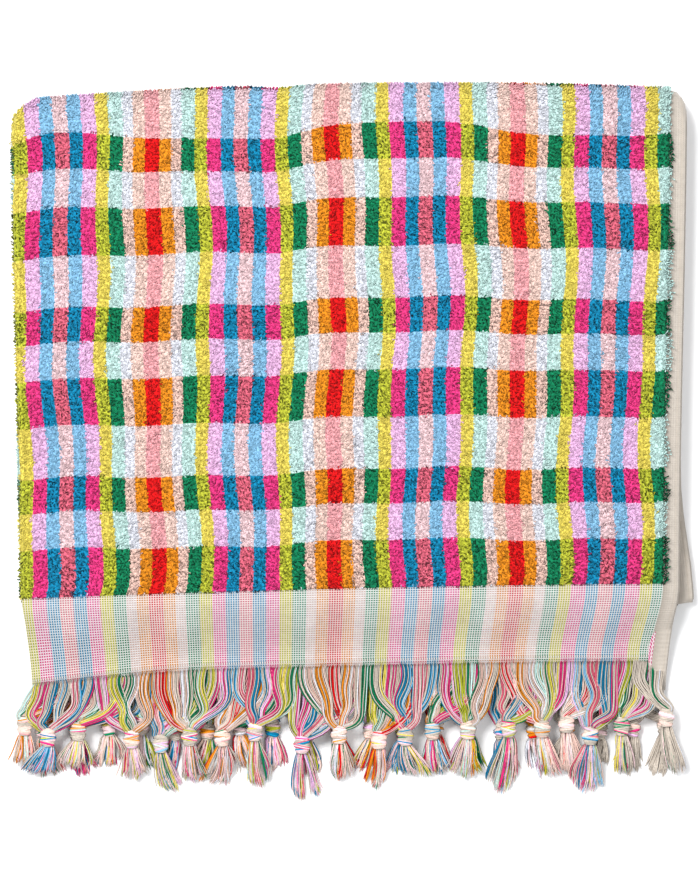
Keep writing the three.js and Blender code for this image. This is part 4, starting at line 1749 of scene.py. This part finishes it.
        z = self._fall(y) + level * mix(1.3, 0.7, t) + (1 - side[:, None] ** 2) * mix(1.0, 0.2, t)
        z = np.maximum(z, self.cream_radius / self.row.fine + FLOOR_GAP)
        dyed = rng.choice(self._dyed(shades), (locks, 2))[lock, rng.integers(0, 2, count)]
        soft = rng.choice([UNDYED, UNDYED, *SOFT], count)
        picked = np.where(rng.random(count) < 0.5, soft, dyed)
        picked = np.where(rng.random(count) < tassel.plain, UNDYED, picked)
        self._yarns(np.stack([x, y, z], axis=-1), picked, 0.84, self.skirt_painted_shade)

    def _fall(self, y: Array) -> Array:
        """Let the skirts down from the level of the knots onto what lies below.

        Args:
            y: Places along Y.

        Returns:
            Heights.
        """
        local = y - self.cloth.offset[1]
        low = -188.0 if self.row.near else -176.0
        start = self.row.knot_height - (1.4 if self.row.near else 0.6)
        return mix(self.row.tip_height, start, ease(local, low, -169.0))


# Camera, lights and floor


@dataclass(frozen=True)
class Studio:
    """A pale floor, soft light from the upper left and a camera straight above.

    Attributes:
        pixel: Size of one pixel of the photograph on the towel.
        rows: The photograph's height in pixels.
        middle: The place that the photograph's middle shows, before the frame's own offset.
        height: Height of the camera.
        level: The height at which a pixel has that size.
        lamps: Name, place in metres, size in metres and power of each lamp.
        room: Brightness of the room.
    """

    pixel: float = 0.55
    rows: int = 875
    middle: tuple[float, float] = (0.0, 3.3)
    height: float = 2400.0
    level: float = 20.0
    lamps: tuple[tuple[str, tuple[float, float, float], float, float], ...] = (
        ("window lamp", (-0.8, 0.9, 2.25), 0.95, 77.0),
        ("fill lamp", (0.9, -0.6, 2.3), 2.2, 22.0),
    )
    room: float = 0.6

    def build(self, offset: tuple[float, float]) -> None:
        """Set up the camera, lights, world and floor.

        Args:
            offset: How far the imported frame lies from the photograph's axes.
        """
        self._camera(offset)
        self._floor()
        self._lights()
        bpy.context.scene.view_settings.view_transform = "Standard"

    def _camera(self, offset: tuple[float, float]) -> None:
        """Hang the camera over the middle of the picture.

        Args:
            offset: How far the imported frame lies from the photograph's axes.
        """
        data = bpy.data.cameras.new("camera")
        data.sensor_width = data.sensor_height = 36.0
        data.sensor_fit = "AUTO"
        data.lens = 36.0 * (self.height - self.level) / (self.rows * self.pixel)
        data.clip_end = 20.0
        camera = bpy.data.objects.new("camera", data)
        x, y = self.middle[0] + offset[0], self.middle[1] + offset[1]
        camera.location = (x * METRES, y * METRES, self.height * METRES)
        bpy.context.scene.collection.objects.link(camera)
        bpy.context.scene.camera = camera

    def _floor(self) -> None:
        """Lay a floor of matt white paper: an even, pale ground that takes soft shadows."""
        bpy.ops.object.select_all(action="DESELECT")
        bpy.ops.mesh.primitive_plane_add(size=14.0, location=(0, 0, -0.0002))
        floor = bpy.context.active_object
        floor.name = "floor"
        bpy.ops.object.transform_apply(location=True)
        material, tree, shader = new_material("matt white paper")
        place = add_node(tree, "TexCoord", {}, ())
        noise = add_node(tree, "TexNoise", {}, {"Scale": 3.0, "Vector": place.outputs["Object"]})
        value = add_node(tree, "MapRange", {}, {"Value": noise, "To Min": 0.93, "To Max": 0.95})
        tree.links.new(value.outputs[0], shader.inputs["Base Color"])
        shader.inputs["Roughness"].default_value = 0.9
        floor.data.materials.append(material)

    def _lights(self) -> None:
        """Hang one large soft lamp at the upper left and a weaker one across from it, in a bright room."""
        for name, place, size, power in self.lamps:
            data = bpy.data.lights.new(name, "AREA")
            data.shape = "DISK"
            data.size = size
            data.energy = power
            lamp = bpy.data.objects.new(name, data)
            lamp.location = place
            down = -np.array(place) / np.linalg.norm(place)
            lamp.rotation_euler = (math.acos(-down[2]), 0.0, math.atan2(down[1], down[0]) - math.pi / 2)
            bpy.context.scene.collection.objects.link(lamp)
        world = bpy.data.worlds.new("bright room")
        world.use_nodes = True
        background = world.node_tree.nodes["Background"]
        background.inputs["Color"].default_value = linear("#F4F6FA")
        background.inputs["Strength"].default_value = self.room
        bpy.context.scene.world = world


def settle_in(pieces: Iterable[bpy.types.Object], slot: str, *nodes: str) -> None:
    """Make pieces ride on the towel's one body, in place of nodes.

    Args:
        pieces: The pieces.
        slot: Not used.
        nodes: The frame's nodes that each of the pieces stands for.
    """
    for piece in pieces:
        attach(piece, "root")
        if nodes:
            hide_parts(*nodes)
        LOG.info("%s: %d faces", piece.name, len(piece.data.polygons))


def main() -> None:
    """Build the towel around the frame."""
    logging.basicConfig(level=logging.INFO, format="%(message)s")
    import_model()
    cloth, sett = FoldedCloth(), Sett()
    Studio().build(cloth.offset)
    yarns = yarn_materials()
    sheet = TowelSheet(cloth, sett).build(TowelWeave(cloth, sett).build())
    settle_in([sheet], "terry_cloth", "towel_cloth")
    pile = LoopPile(cloth, sett).build(yarns)
    settle_in(pile, "terry_cloth")
    for row in FRINGE_ROWS:
        fringe = Fringe(cloth, sett, row).build(yarns)
        settle_in([fringe], "fringe_yarn", row.name)
    flat = (cloth.width * METRES, cloth.length * METRES)


if __name__ == "__main__":
    main()
